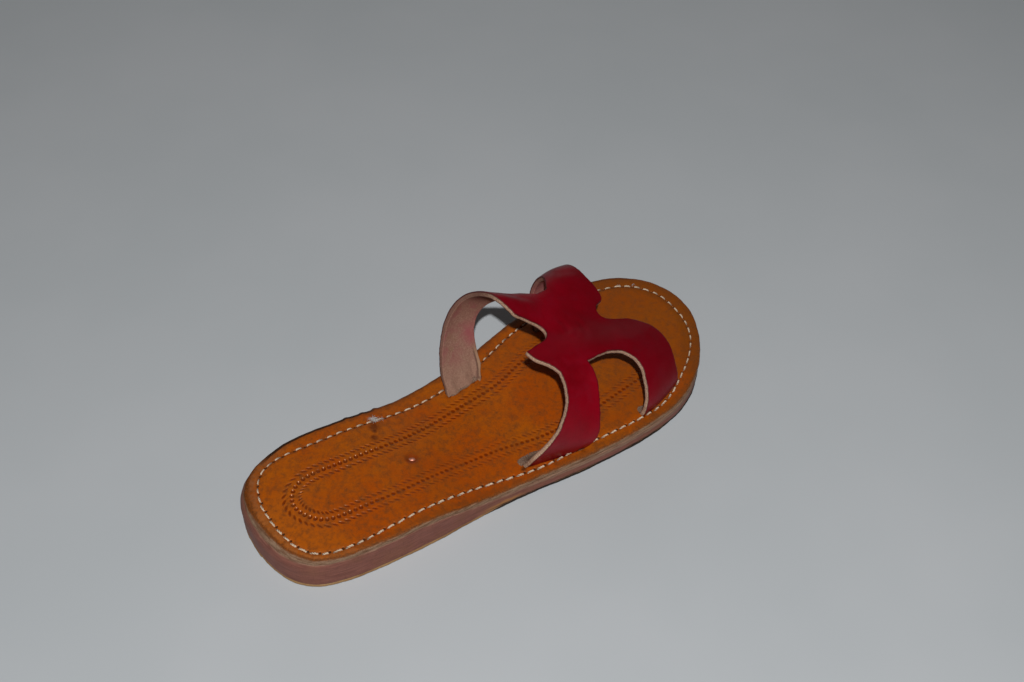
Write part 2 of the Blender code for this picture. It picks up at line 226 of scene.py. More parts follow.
def nearest(points, line, closed=False):
    """(distance, place along, signed offset to the left) of each point from an evenly read line."""
    after = np.roll(line, -1, axis=0) if closed else line[1:]
    start = line[: len(after)]
    step = after - start
    length = chord_knots(np.vstack([start, after[-1:]]))
    size = np.diff(length) ** 2
    found = np.empty((3, len(points)))
    for low in range(0, len(points), 4000):
        here = points[low : low + 4000, None] - start
        t = np.clip((here * step).sum(axis=2) / size, 0.0, 1.0)
        gap = np.linalg.norm(here - t[:, :, None] * step, axis=2)
        best = gap.argmin(axis=1)
        rows = np.arange(len(best))
        here, t, gap, way = here[rows, best], t[rows, best], gap[rows, best], step[best]
        side = np.sign(way[:, 0] * here[:, 1] - way[:, 1] * here[:, 0])
        found[:, low : low + 4000] = gap, length[best] + t * np.sqrt(size[best]), gap * side
    return found


def uneven(points):
    """Soft noise from -1 to 1 at the points, whose patches are about 1 across."""
    return np.array([noise.noise(Vector(p)) for p in points])


def below_top(y, depth):
    return sole_top(y) - depth


def raised(flat, height):
    """Points at a height over the insole's top."""
    return np.column_stack([flat, sole_top(flat[:, 1]) + height])


def keep_above(points, height):
    points[:, 2] = np.maximum(points[:, 2], sole_top(points[:, 1]) + height)


# ---- meshes

def link(name, data):
    obj = bpy.data.objects.new(name, data)
    bpy.context.scene.collection.objects.link(obj)
    return obj


def strip(low, high, closed=True):
    """Quads between two equal rows of point numbers."""
    after = [*range(1, len(low)), 0]
    return [(low[i], low[j], high[j], high[i]) for i, j in enumerate(after if closed else after[:-1])]


def triangulate(points, count, holes=()):
    """Triangles over the points, inside the loop of the first count ones and outside the holes."""
    edges = []
    for loop in [np.arange(count), *holes]:
        edges += zip(loop.tolist(), np.roll(loop, -1).tolist())
    made = geometry.delaunay_2d_cdt([Vector(p) for p in points.tolist()], edges, [], 0, 1e-5)
    number = np.array([source[0] if source else -1 for source in made[3]])
    triangles = number[np.array(made[2])]
    triangles = triangles[(triangles >= 0).all(axis=1)]
    middle = points[triangles].mean(axis=1)
    keep = inside(middle, points[:count])
    for hole in holes:
        keep &= ~inside(middle, points[hole])
    triangles = triangles[keep]
    a, b, c = points[triangles].transpose(1, 0, 2)
    area = (b[:, 0] - a[:, 0]) * (c[:, 1] - a[:, 1]) - (b[:, 1] - a[:, 1]) * (c[:, 0] - a[:, 0])
    triangles[area < 0] = triangles[area < 0][:, ::-1]
    return triangles


FIELD_X = (-47.0, 54.0)
FIELD_Y = (-2.0, 253.0)


def hexagons(step):
    """A field of evenly spread points over the whole sole."""
    columns, rows = np.arange(*FIELD_X, step), np.arange(*FIELD_Y, step * math.sqrt(0.75))
    return np.vstack([[(x + (k % 2) * step / 2.0, y) for x in columns] for k, y in enumerate(rows)])


class Shell:
    """A piece gathered part by part: its points, its faces and the values on its points."""

    def __init__(self):
        self.parts, self.faces, self.total = [], [], 0

    def add(self, points, **values):
        """Adds points, with values that are 0 where none is given, and returns their numbers."""
        self.parts.append((points, values))
        self.total += len(points)
        return np.arange(self.total - len(points), self.total)

    def cap(self, ring, numbers, step, gap, height, level, turn, **values):
        """Closes a ring with triangles over points at height(y, level). turn: 1 for a top, -1 below."""
        field = hexagons(step)
        field = field[inside(field, ring[:, :2])]
        field = field[nearest(field, ring[:, :2], True)[0] > gap]
        triangles = triangulate(np.vstack([ring[:, :2], field]), len(ring))
        field = np.column_stack([field, height(field[:, 1], level)])
        index = np.concatenate([numbers, self.add(field, **values)])
        self.faces += index[triangles][:, ::turn].tolist()

    def tube(self, rings, **values):
        """Adds a tube through rings of points, with flat ends."""
        numbers = self.add(rings.reshape(-1, 3), **values).reshape(rings.shape[:2])
        for low, high in zip(numbers, numbers[1:]):
            self.faces += strip(low, high)
        self.faces += [numbers[0, ::-1], numbers[-1]]

    def made(self, name, height=None):
        """Mesh object from the parts. With height(y), its points also hold how far above it they lie."""
        mesh = bpy.data.meshes.new(name)
        points = np.vstack([part for part, _ in self.parts])
        faces = [tuple(map(int, face)) for face in self.faces]
        mesh.from_pydata(((points - CENTRE) * MM).tolist(), [], faces)
        mesh.validate()
        mesh.shade_smooth()
        whole = {}
        for key in sorted({key for _, values in self.parts for key in values}):
            numbers = [np.broadcast_to(values.get(key, 0.0), len(part)) for part, values in self.parts]
            whole[key] = np.concatenate(numbers)
        if height:
            whole["above"] = points[:, 2] - height(points[:, 1])
        for key, numbers in whole.items():
            layer = mesh.attributes.new(key, "FLOAT", "POINT")
            layer.data.foreach_set("value", numbers.astype(np.float32))
        return link(name, mesh)


RING_STEP = 0.75
LATERAL = [(lateral, y) for y, _, lateral in OUTLINE]
MEDIAL = [(medial, y) for y, medial, _ in reversed(OUTLINE)]
RING = even_curve([HEEL_END, *LATERAL, TOE_END, *MEDIAL], RING_STEP, closed=True)
RING_OUT = -left_normals(RING, closed=True)
RING_AT = np.arange(len(RING)) * RING_STEP
# The frame's origin in the tables: the middle of the outline, as in the solids, on the floor.
CENTRE = np.append((RING.min(axis=0) + RING.max(axis=0)) / 2.0, 0.0)

# The insole's edge is rubbed away round the back of the heel, down to WEAR_DEPTH below the top.
WEAR_AT = (-10.0, 0.0)
WEAR_REACH = 40.0
WEAR_INSET = 4.0
WEAR_DEPTH = 7.0
WEAR_FADE = 1.4
RING_WEAR = WEAR_INSET * np.exp(-(np.linalg.norm(RING - WEAR_AT, axis=1) / WEAR_REACH) ** 4)


def ring_points(inset, height, level, wobble):
    """The sole's outline drawn in by inset, wear and wobble, at height(y, level)."""
    drop = np.clip((sole_top(RING[:, 1]) - height(RING[:, 1], level)) / WEAR_DEPTH, 0.0, 1.0)
    flat = RING - RING_OUT * (inset + RING_WEAR * (1.0 - drop) ** WEAR_FADE + wobble)[:, None]
    return np.column_stack([flat, height(flat[:, 1], level)])


# ---- upper surface

ARCH_TABLE = np.array(ARCH, float)
BRIDGE_KNOT = 3
ARCH_KNOT_POWER = 0.5
SECTION_Y = np.arange(106.0, 224.0, 0.5)
SECTION_U = np.linspace(-1.0, 1.0, 641)
U_LENGTH = 75.0


def arch_section(y):
    """(x, z) along the outer face at y for every value of SECTION_U."""
    slot_m, low_m, low_mz, crest, crest_z, bridge_z, high, high_z, low_l, low_lz, slot_l = spline(
        ARCH_TABLE[:, 0], ARCH_TABLE[:, 1:], y
    )[0]
    foot = float(sole_top(y)) - LEG_DEPTH
    points = np.array([
        (slot_m, foot), (low_m, low_mz), (crest, crest_z), (0.0, bridge_z), (high, high_z),
        (low_l, low_lz), (slot_l, foot),
    ])
    knots = chord_knots(points, ARCH_KNOT_POWER)
    where = np.linspace(0.0, knots[-1], 800)
    fine = spline(knots, points, where)
    length = chord_knots(fine)
    bridge = np.interp(knots[BRIDGE_KNOT], where, length)
    run = bridge + SECTION_U * np.where(SECTION_U < 0.0, bridge, length[-1] - bridge)
    return np.column_stack([np.interp(run, length, fine[:, k]) for k in (0, 1)])


SECTIONS = np.array([arch_section(y) for y in SECTION_Y])
ALONG_U = np.gradient(SECTIONS, axis=1)
ALONG_Y = np.gradient(SECTIONS, SECTION_Y, axis=0)


def read_table(table, u, y):
    row = np.clip((y - SECTION_Y[0]) / (SECTION_Y[1] - SECTION_Y[0]), 0.0, len(SECTION_Y) - 1.001)
    column = np.clip((u + 1.0) / (SECTION_U[1] - SECTION_U[0]), 0.0, len(SECTION_U) - 1.001)
    i, j = row.astype(int), column.astype(int)
    a, b = (row - i)[:, None], (column - j)[:, None]
    near = table[i, j] * (1.0 - b) + table[i, j + 1] * b
    far = table[i + 1, j] * (1.0 - b) + table[i + 1, j + 1] * b
    return near * (1.0 - a) + far * a


def upper_surface(u, y):
    """Points on the outer face, and unit normals away from the foot."""
    xz, du, dy = (read_table(table, u, y) for table in (SECTIONS, ALONG_U, ALONG_Y))
    across = np.column_stack([du[:, 0], np.zeros(len(u)), du[:, 1]])
    along = np.column_stack([dy[:, 0], np.ones(len(u)), dy[:, 1]])
    return np.column_stack([xz[:, 0], y, xz[:, 1]]), unit(np.cross(across, along))


def edge_points(rows, count=EDGE_SAMPLES):
    """count + 1 points (u, y), evenly spaced along the smooth edge through the rows."""
    scale = [U_LENGTH, 1.0]
    return read_evenly(np.array(rows, float) * scale, EDGE_SAMPLES, count=count) / scale


def joined(*stretches):
    points = [edge_points(*stretch)[1:] for stretch in stretches]
    return np.vstack([stretches[0][0][0], *points])


LEG_COLUMNS = 62
BITE_COLUMNS = 36
BRIDGE_COLUMNS = 14
BAND_ROWS = 32
BRIDGE_ROWS = 12
SPLIT_MARGIN = 0.03


def split_edge(rows, u):
    """The rows of an edge up to u and from u on, with the point at u in both."""
    fine = edge_points(rows)
    here = (u, float(np.interp(u, fine[:, 0], fine[:, 1])))
    before = [row for row in rows if row[0] < u - SPLIT_MARGIN]
    after = [row for row in rows if row[0] > u + SPLIT_MARGIN]
    return before + [here], [here] + after


def upper_grid():
    """Rows of (u, y) points over the H, rear edge first."""
    legs, bridge, bite = LEG_COLUMNS, BRIDGE_COLUMNS, BITE_COLUMNS

    def edge(medial, middle, lateral):
        leg_m, bridge_m = split_edge(medial, CUT_REAR[-1][0])
        bridge_l, leg_l = split_edge(lateral, CUT_REAR_LATERAL[0][0])
        return joined((leg_m, legs), (bridge_m, bridge), (middle, bite), (bridge_l, bridge), (leg_l, legs))

    def cut(medial, lateral):
        return joined((medial, legs), ([medial[-1], lateral[0]], 2 * bridge + bite), (lateral, legs))

    rear = edge(REAR_EDGE, REAR_BITE, REAR_EDGE_LATERAL)
    front = edge(FRONT_EDGE, FRONT_BITE, FRONT_EDGE_LATERAL)
    cut_rear, cut_front = cut(CUT_REAR, CUT_REAR_LATERAL), cut(CUT_FRONT, CUT_FRONT_LATERAL)
    rows = [rear + (cut_rear - rear) * k / BAND_ROWS for k in range(BAND_ROWS + 1)]
    rows += [cut_rear + (cut_front - cut_rear) * k / BRIDGE_ROWS for k in range(1, BRIDGE_ROWS)]
    rows += [cut_front + (front - cut_front) * k / BAND_ROWS for k in range(BAND_ROWS + 1)]
    return np.array(rows)


def rim_loops(faces):
    """Open edges of the faces as loops of point numbers, with the faces on the left."""
    edges = [edge for face in faces for edge in zip(face, face[1:] + face[:1])]
    known = set(edges)
    after = {a: b for a, b in edges if (b, a) not in known}
    loops = []
    while after:
        loop = [next(iter(after))]
        while loop[-1] in after:
            loop.append(after.pop(loop[-1]))
        loops.append(np.array(loop[:-1]))
    return loops


# Rim of the cut leather: how deep in the wall, and how far short of the true edge.
RIM = [(0, 0.42), (0.07, 0.22), (0.25, 0.06), (0.6, 0), (1, 0), (1.5, 0.03), (1.9, 0),
       (2.25, 0.06), (2.45, 0.2), (2.6, 0.42)]

# Soft creases in the upper: how deep, half width, and the line as (u, y). A minus depth is a ridge.
CREASES = [
    (0.30, 1.5, [(0.10, 166.5), (0.06, 169.5), (0, 170.5), (-0.06, 169)]),
    (0.24, 1.5, [(0.16, 168), (0.10, 172.5), (0.02, 174), (-0.07, 172.5)]),
    (0.20, 1.6, [(0.20, 171), (0.13, 176), (0.03, 177.8), (-0.06, 176.5)]),
    (0.35, 2.4, [(-0.34, 150), (-0.27, 157), (-0.24, 165)]),
    (0.25, 2, [(-0.44, 148), (-0.37, 156), (-0.33, 162)]),
    (0.35, 2.6, [(0.40, 150.5), (0.44, 156), (0.47, 163)]),
    (0.25, 2.2, [(0.30, 152), (0.33, 158), (0.35, 163.5)]),
    (0.30, 2.4, [(0.42, 190.5), (0.40, 199), (0.36, 208)]),
    (0.25, 2.4, [(-0.40, 184), (-0.36, 191), (-0.36, 199)]),
    (0.85, 1, [(-1, 134.9), (-0.93, 135.6), (-0.86, 137.2)]),
    (0.45, 1.4, [(-1, 120.4), (-0.94, 119.8), (-0.88, 120.6)]),
    (0.40, 1.6, [(-0.97, 128.6), (-0.93, 128), (-0.90, 128.8)]),
    (0.45, 1.3, [(1, 121.8), (0.94, 122.2), (0.88, 123.8)]),
    (0.35, 1.6, [(1, 146.5), (0.95, 146.8), (0.90, 148.2)]),
    (0.40, 1.3, [(1, 186.4), (0.94, 187), (0.88, 188.8)]),
]


def crease_depth(u, y):
    """How far the creases press the sheet in at each point, in millimetres."""
    flat = np.column_stack([u * U_LENGTH, y])
    depth = np.zeros(len(flat))
    for deep, half, rows in CREASES:
        line = even_curve([(a * U_LENGTH, b) for a, b in rows], 0.5)
        gap, place, _ = nearest(flat, line)
        length = len(line) * 0.5
        # A crease fades out at both ends, or only away from the leg's foot where it starts.
        if abs(rows[0][0]) > 0.95 and abs(rows[-1][0]) > 0.8:
            ends = 1.0 - smoothstep(place, 0.5 * length, length + 0.1)
        else:
            ends = smoothstep(place, -0.1, 0.3 * length)
            ends *= 1.0 - smoothstep(place, 0.7 * length, length + 0.1)
        trough = np.exp(-(gap / half) ** 2) - 0.45 * np.exp(-((gap - 2.1 * half) / half) ** 2)
        depth += deep * ends * trough
    return depth


# The inner rear leg's front corner curls in towards the foot at its base: reach and height.
CURL_REACH = 2.2
CURL_HEIGHT = 1.3


def curl(u, y):
    """How far the leg's corner curls in, in millimetres."""
    edge = np.interp(u, *edge_points(CUT_REAR, 200).T)
    near = 1.0 - smoothstep(edge - y, 0.2, CURL_REACH)
    return CURL_HEIGHT * near * smoothstep(-u, 0.83, 0.93) * (y < 150.0)


# Unevenness of the strap, as (patches per millimetre, height), and of its rim, as waves for ripple.
STRAP_WAVES = ((0.045, 0.35), (0.16, 0.10))
RIM_WAVES = [(3.1, 0.06), (1.7, 0.05), (7.3, 0.08), (13.0, 0.10)]
FRAY_WAVES = [(1.3, 0.04), (2.3, 0.05)]


def build_upper():
    grid = upper_grid()
    rows, columns = grid.shape[:2]
    index = np.arange(rows * columns).reshape(rows, columns)
    faces = []
    for r in range(rows - 1):
        at_bridge = BAND_ROWS <= r < BAND_ROWS + BRIDGE_ROWS
        part = slice(LEG_COLUMNS, columns - LEG_COLUMNS) if at_bridge else slice(None)
        faces += strip(index[r, part], index[r + 1, part], closed=False)
    used, faces = np.unique(faces, return_inverse=True)
    faces = faces.reshape(-1, 4)
    u, y = grid.reshape(-1, 2)[used].T
    point, normal = upper_surface(u, y)
    waves = sum(uneven(point * rate) * height for rate, height in STRAP_WAVES)
    outer = point + normal * (waves - crease_depth(u, y) - curl(u, y))[:, None]
    inner = outer - normal * LEATHER
    loops = rim_loops(faces.tolist())
    rims = outer[np.concatenate(loops)]
    tree = kdtree.KDTree(len(rims))
    for i, place in enumerate(rims):
        tree.insert(Vector(place), i)
    tree.balance()
    from_rim = np.array([tree.find(Vector(place))[2] for place in point])
    shell = Shell()
    grain = shell.add(outer, wall=0.0, from_rim=from_rim)
    flesh = shell.add(inner, wall=1.0, from_rim=from_rim)
    shell.faces += grain[faces].tolist() + flesh[faces[:, ::-1]].tolist()
    # Both faces draw in along their rims, and the cut edge between them is built up from RIM.
    for k, loop in enumerate(loops):
        here, lean = outer[loop], normal[loop]
        out = unit(np.cross(np.roll(here, -1, axis=0) - np.roll(here, 1, axis=0), lean))
        run = chord_knots(np.vstack([here, here[:1]]))[:-1]
        rough = ripple(run, RIM_WAVES, SEED + k)
        outer[loop] = here - out * RIM[0][1]
        inner[loop] = here - out * RIM[-1][1] - lean * LEATHER
        levels = [grain[loop]]
        for depth, short in RIM[1:-1]:
            fray = rough + ripple(run, FRAY_WAVES, SEED + 40 + k + int(depth * 50))
            edge = here - lean * depth - out * (short - fray)[:, None]
            levels.append(shell.add(edge, wall=depth / LEATHER))
        levels.append(flesh[loop])
        for low, high in zip(levels, levels[1:]):
            shell.faces += strip(high, low)
    return shell.made("strap_leather")


# ---- insole

SLOT_LEVELS = (0.0, -1.4, -2.95)
SLOT_AIR = 0.12
SLOT_STATIONS = 34
# The stretch of u over which a leg passes the insole's top, and from where on it is the leg's end.
SLOT_U = np.linspace(0.86, 1.0, 60)
LEG_END_U = 0.955
SLOTS = [(-1, REAR_EDGE, CUT_REAR), (-1, CUT_FRONT, FRONT_EDGE),
         (1, REAR_EDGE_LATERAL, CUT_REAR_LATERAL), (1, CUT_FRONT_LATERAL, FRONT_EDGE_LATERAL)]


def leg_end(rows):
    fine = edge_points(rows)
    return fine[np.abs(fine[:, 0]) > LEG_END_U][:, 1]


def slot_loop(side, rear, front, level):
    """Closed loop round a leg of the upper, at a level below the insole's top."""
    start, stop = leg_end(rear).min() - SLOT_AIR, leg_end(front).max() + SLOT_AIR
    stations = np.linspace(start, stop, SLOT_STATIONS)
    u = side * SLOT_U
    faces = []
    for depth, air in ((0.0, SLOT_AIR), (LEATHER, -SLOT_AIR)):
        line = []
        for y in stations:
            point, normal = upper_surface(u, np.full(len(u), y))
            wall = point - normal * depth
            height = wall[:, 2] - sole_top(y) - level
            order = np.argsort(height)
            line.append((np.interp(0.0, height[order], wall[order, 0]) + side * air, y))
        faces.append(line)
    loop = faces[0] + faces[1][::-1]
    return np.array(loop if side > 0 else loop[::-1])


# Insole's side, from the top inwards edge down: inset, and how far below the top.
INSOLE_SIDE = [(1.7, 0), (1.2, 0.06), (0.8, 0.18), (0.48, 0.38), (0.24, 0.68), (0.08, 1.05), (0, 1.5),
               (0, 2.2), (0.04, 2.8), (0.16, 3.1), (0.5, 3.2)]
TOOL_HALF = 5.3
TOOL_STEP = 0.29
BEAD_PITCH = 2.65
BEAD = (1.12, 1.3)
BEAD_DEPTH = 0.8
# How many strengths of blow are drawn for the marks.
STRIKES = 400
TICK_ROW = 3.6
TICK_TILT = math.radians(-40.0)
TICK = (1.9, 0.7)
TICK_DEPTH = 0.5
# How strongly the marks were struck, as (share of the line, strength): hardest round the heel.
STRUCK = [(0, 0.6), (0.15, 0.7), (0.28, 0.85), (0.38, 1), (0.56, 1), (0.63, 0.6), (0.72, 0.5),
          (0.85, 0.65), (1, 0.5)]
STITCH_PITCH = 5.2
HOLE_RINGS = [(0.0, 1), (0.25, 7), (0.48, 10), (0.72, 12), (1.0, 14)]
NAIL = (3.0, 78.1)
NAIL_DENT = (3.6, 0.85)
NAIL_RINGS = [(0.0, 1)] + [(radius, 20) for radius in (0.8, 1.5, 1.9, 2.4, 3.0, 3.6)]


def stitch_places():
    """Where the needle holes are, and the way along and out at each."""
    line = even_curve(STITCH_LINE, 0.1, closed=True)
    count = int(round(len(line) * 0.1 / STITCH_PITCH))
    rng = np.random.default_rng(SEED)
    at = (np.arange(count) + rng.uniform(-0.09, 0.09, count)) * len(line) / count
    index = at.round().astype(int) % len(line)
    out = -left_normals(line, closed=True)[index]
    return line[index], out


HOLES, HOLE_OUT = stitch_places()
HOLE_INNER = smoothstep(-HOLES[:, 0], 14.0, 25.0) * (1.0 - smoothstep(HOLES[:, 1], 215.0, 232.0))
HOLE_TOE = smoothstep(HOLES[:, 1], 205.0, 230.0)
HOLE_IN_LINE = np.maximum(HOLE_INNER, 0.85 * HOLE_TOE)
HOLE_CENTRES = HOLES - HOLE_OUT * (0.5 - 0.42 * HOLE_IN_LINE)[:, None]

# Rows of points beside the stitch line, the step of the coarse field, and the room left round the fine ones.
STITCH_ROWS = (-1.7, -1.2, -0.7, -0.25, 0.25, 0.7, 1.2, 1.7)
COARSE_STEP = 2.0
HOLE_ROOM, TOOL_ROOM, STITCH_ROOM, NAIL_ROOM, RING_ROOM, SLOT_ROOM = 1.3, 0.7, 2.4, 4.2, 0.35, 0.3
# Depths of the groove under the stitches, of a needle hole and of the soft unevenness.
GROOVE_DEPTH, HOLE_DEPTH, SOFT_DEPTH = 0.28, 0.75, 0.14
GROOVE_HALF = 0.75
# A needle hole's wall lies between these distances from its middle.
HOLE_WALL = (0.2, 0.78)
SOFT_RATE = 0.05
TOOL = even_curve(TOOL_LINE, TOOL_STEP)
STITCH = even_curve(STITCH_LINE, 0.55, closed=True)


def tool_depth(place, offset):
    """Depth of the tooled marks, from 0 to 1, at a place along the line and an offset from it."""
    strength = 0.82 + 0.18 * np.random.default_rng(SEED + 3).uniform(-1.0, 1.0, STRIKES)
    number = np.floor(place / BEAD_PITCH).astype(int)
    along = place - (number + 0.5) * BEAD_PITCH
    far = (along / BEAD[0]) ** 2 + (offset / BEAD[1]) ** 2
    depth = np.clip(1.0 - far, 0.0, 1.0) * strength[number % STRIKES]
    cos, sin = math.cos(TICK_TILT), math.sin(TICK_TILT)
    for side in (-1, 1):
        for mark in (number - 1, number, number + 1):
            a, b = place - (mark + 0.5) * BEAD_PITCH, offset - side * TICK_ROW
            far = ((a * cos + b * sin) / TICK[0]) ** 2 + ((b * cos - a * sin) / TICK[1]) ** 2
            size = strength[(mark * 3 + 100 + side * 50) % STRIKES] * TICK_DEPTH / BEAD_DEPTH
            depth = np.maximum(depth, np.clip(1.0 - far, 0.0, 1.0) * size)
    return depth * np.interp(place / place.max(), *np.array(STRUCK).T)


def beside(line, offsets, closed=False):
    """The points of the line, moved to its left by each of the offsets."""
    return np.vstack([line + left_normals(line, closed) * offset for offset in offsets])


def rings_round(places, rings):
    """Points on circles round each place. rings: (radius, number of points)."""
    return np.vstack([(places[:, None] + circle(count) * radius).reshape(-1, 2) for radius, count in rings])


def from_holes(flat):
    return np.min(np.linalg.norm(flat[:, None] - HOLE_CENTRES, axis=2), axis=1)


def insole_field(ring, slots):
    """Points of the insole's top: fine along the tooling and the stitches, coarse elsewhere."""
    tool_field = beside(TOOL, np.linspace(-TOOL_HALF, TOOL_HALF, int(2 * TOOL_HALF / TOOL_STEP) + 1))
    stitch_field = beside(STITCH, STITCH_ROWS, True)
    stitch_field = stitch_field[from_holes(stitch_field) > HOLE_ROOM]
    coarse = hexagons(COARSE_STEP)
    coarse = coarse[nearest(coarse, TOOL[::6])[0] > TOOL_HALF + TOOL_ROOM]
    coarse = coarse[nearest(coarse, STITCH[::2], True)[0] > STITCH_ROOM]
    coarse = coarse[np.linalg.norm(coarse - NAIL, axis=1) > NAIL_ROOM]
    nail_field = rings_round(np.array([NAIL]), NAIL_RINGS)
    field = np.vstack([tool_field, stitch_field, rings_round(HOLE_CENTRES, HOLE_RINGS), coarse, nail_field])
    field = field[inside(field, ring)]
    field = field[nearest(field, ring, True)[0] > RING_ROOM]
    for slot in slots:
        field = field[~inside(field, slot)]
        field = field[nearest(field, slot, True)[0] > SLOT_ROOM]
    return field


def insole_relief(flat):
    """Height change of the insole's top, and the values that colour it."""
    gap, place, offset = nearest(flat, TOOL[::3])
    marks = np.where(gap < TOOL_HALF + 0.5, tool_depth(place, offset), 0.0)
    groove = np.exp(-(nearest(flat, STITCH, True)[0] / GROOVE_HALF) ** 2)
    hole_gap = np.full(len(flat), 9.0)
    near = groove > 0.02
    hole_gap[near] = from_holes(flat[near])
    holes = 1.0 - smoothstep(hole_gap, *HOLE_WALL)
    dent = 1.0 - smoothstep(np.linalg.norm(flat - NAIL, axis=1), 0.8, NAIL_DENT[0])
    soft = uneven(np.column_stack([flat * SOFT_RATE, np.full(len(flat), 3.0)]))
    height = SOFT_DEPTH * soft - BEAD_DEPTH * marks - GROOVE_DEPTH * groove - HOLE_DEPTH * holes
    return height - NAIL_DENT[1] * dent, {"marks": marks, "holes": holes, "groove": groove}


# Small lumps that stand out of the insole's inner edge.
LUMPS = [(-34.7, 66.0), (-34.4, 74.5), (-34.3, 81.5)]
LUMP_SIZE = (0.7, 1.3)


def build_insole():
    wobble = ripple(RING_AT, [(31.0, 0.08), (17.0, 0.07), (9.0, 0.05), (4.3, 0.03)], SEED + 11)
    for place in LUMPS:
        gap = np.linalg.norm(RING - place, axis=1)
        wobble -= LUMP_SIZE[0] * np.exp(-(gap / LUMP_SIZE[1]) ** 2)
    ring = ring_points(INSOLE_SIDE[0][0], below_top, 0.0, wobble)[:, :2]
    slots = [[slot_loop(*slot, level) for level in SLOT_LEVELS] for slot in SLOTS]
    tops = [levels[0] for levels in slots]
    flat = np.vstack([ring, *tops, insole_field(ring, tops)])
    ends = np.cumsum([len(ring), *map(len, tops)])
    loops = [np.arange(low, high) for low, high in zip(ends, ends[1:])]
    relief, values = insole_relief(flat)
    margin = nearest(flat, ring, True)[0]
    top = raised(flat, relief * np.clip(margin, 0.0, 1.0))
    shell = Shell()
    shell.faces += triangulate(flat, len(ring), loops).tolist()
    upper_row = shell.add(top, margin=margin, **values)[: len(ring)]
    for inset, depth in INSOLE_SIDE[1:]:
        ring = ring_points(inset, below_top, depth, wobble)
        row = shell.add(ring, drop=depth)
        shell.faces += strip(row, upper_row)
        upper_row = row
    shell.cap(ring, row, 6.0, 2.5, below_top, INSOLE_THICK, -1, drop=INSOLE_THICK)
    for levels, upper_row in zip(slots, loops):
        for level, line in zip(SLOT_LEVELS[1:], levels[1:]):
            row = shell.add(raised(line, level), drop=-level)
            shell.faces += strip(upper_row, row)
            upper_row = row
        half = len(row) // 2
        shell.faces += strip(row[:half], row[::-1][:half], closed=False)
    return shell.made("footbed")


def build_layer(name, seed, waves, sides, height, drop, cap_step):
    """Layer of the sole from rings (inset, level) listed bottom to top, at height(y, level)."""
    wobble = ripple(RING_AT, waves, SEED + seed)
    shell = Shell()
    rings = [ring_points(inset, height, level, wobble) for inset, level in sides]
    drops = [drop(ring, level) for ring, (_, level) in zip(rings, sides)]
    rows = [shell.add(ring, drop=values) for ring, values in zip(rings, drops)]
    for low, high in zip(rows, rows[1:]):
        shell.faces += strip(low, high)
    for k, turn in ((0, -1), (-1, 1)):
        shell.cap(rings[k], rows[k], cap_step, cap_step * 0.45, height, sides[k][1], turn, drop=drops[k][0])
    return shell.made(name, lambda y: height(y, 0.0))


def build_midsole():
    """The stacked leather between insole and outsole, with a faint seam at both."""
    def height(y, share):
        low = sole_bottom(y) + OUTSOLE_THICK
        return low + share * (sole_top(y) - INSOLE_THICK - low)

    sides = [(0.5, 0.0), (0.22, 0.02), (0.06, 0.06), (0.03, 0.15), (0.1, 0.3), (0.12, 0.45), (0.08, 0.6),
             (0.02, 0.75), (0.0, 0.88), (0.06, 0.95), (0.22, 0.985), (0.5, 1.0)]
    return build_layer("heel_and_sole_stack", 12, [(43.0, 0.1), (19.0, 0.06), (7.0, 0.03)], sides, height,
                       lambda ring, share: sole_top(ring[:, 1]) - ring[:, 2], 5.0)


def build_outsole():
    sides = [(0.75, 0.0), (0.4, 0.04), (0.12, 0.18), (0.0, 0.45), (0.0, 0.9), (0.06, 1.25), (0.25, 1.45),
             (0.5, OUTSOLE_THICK)]
    return build_layer("walking_sole", 13, [(37.0, 0.1), (15.0, 0.07), (6.0, 0.04), (2.9, 0.03)], sides,
                       lambda y, above: sole_bottom(y) + above,
                       lambda ring, above: np.full(len(ring), above), 4.0)


# ---- thread

def tube_rings(path, radius, sides):
    """Rings of points round the path."""
    along = unit(np.gradient(path, axis=0))
    side = np.cross(along, (0.0, 0.0, 1.0))
    side /= np.maximum(np.linalg.norm(side, axis=1), 1e-6)[:, None]
    lift = np.cross(side, along)
    cos, sin = circle(sides).T[:, None, :, None]
    return path[:, None] + (side[:, None] * cos + lift[:, None] * sin) * np.reshape(radius, (-1, 1, 1))


THREAD_PLY = 0.27
THREAD_TURNS = 1.75
STITCH_STEPS = 18
# Height of the thread's middle over the insole along one stitch, as (share of the stitch, height).
STITCH_RISE = [(0, -0.9), (0.08, -0.1), (0.16, 0.22), (0.35, 0.36), (0.6, 0.28), (0.78, 0.06), (0.9, -0.2),
               (1, -0.7)]
# The thread shows between these shares of the way from one hole to the next.
STITCH_SHOWN = (0.10, 0.84)


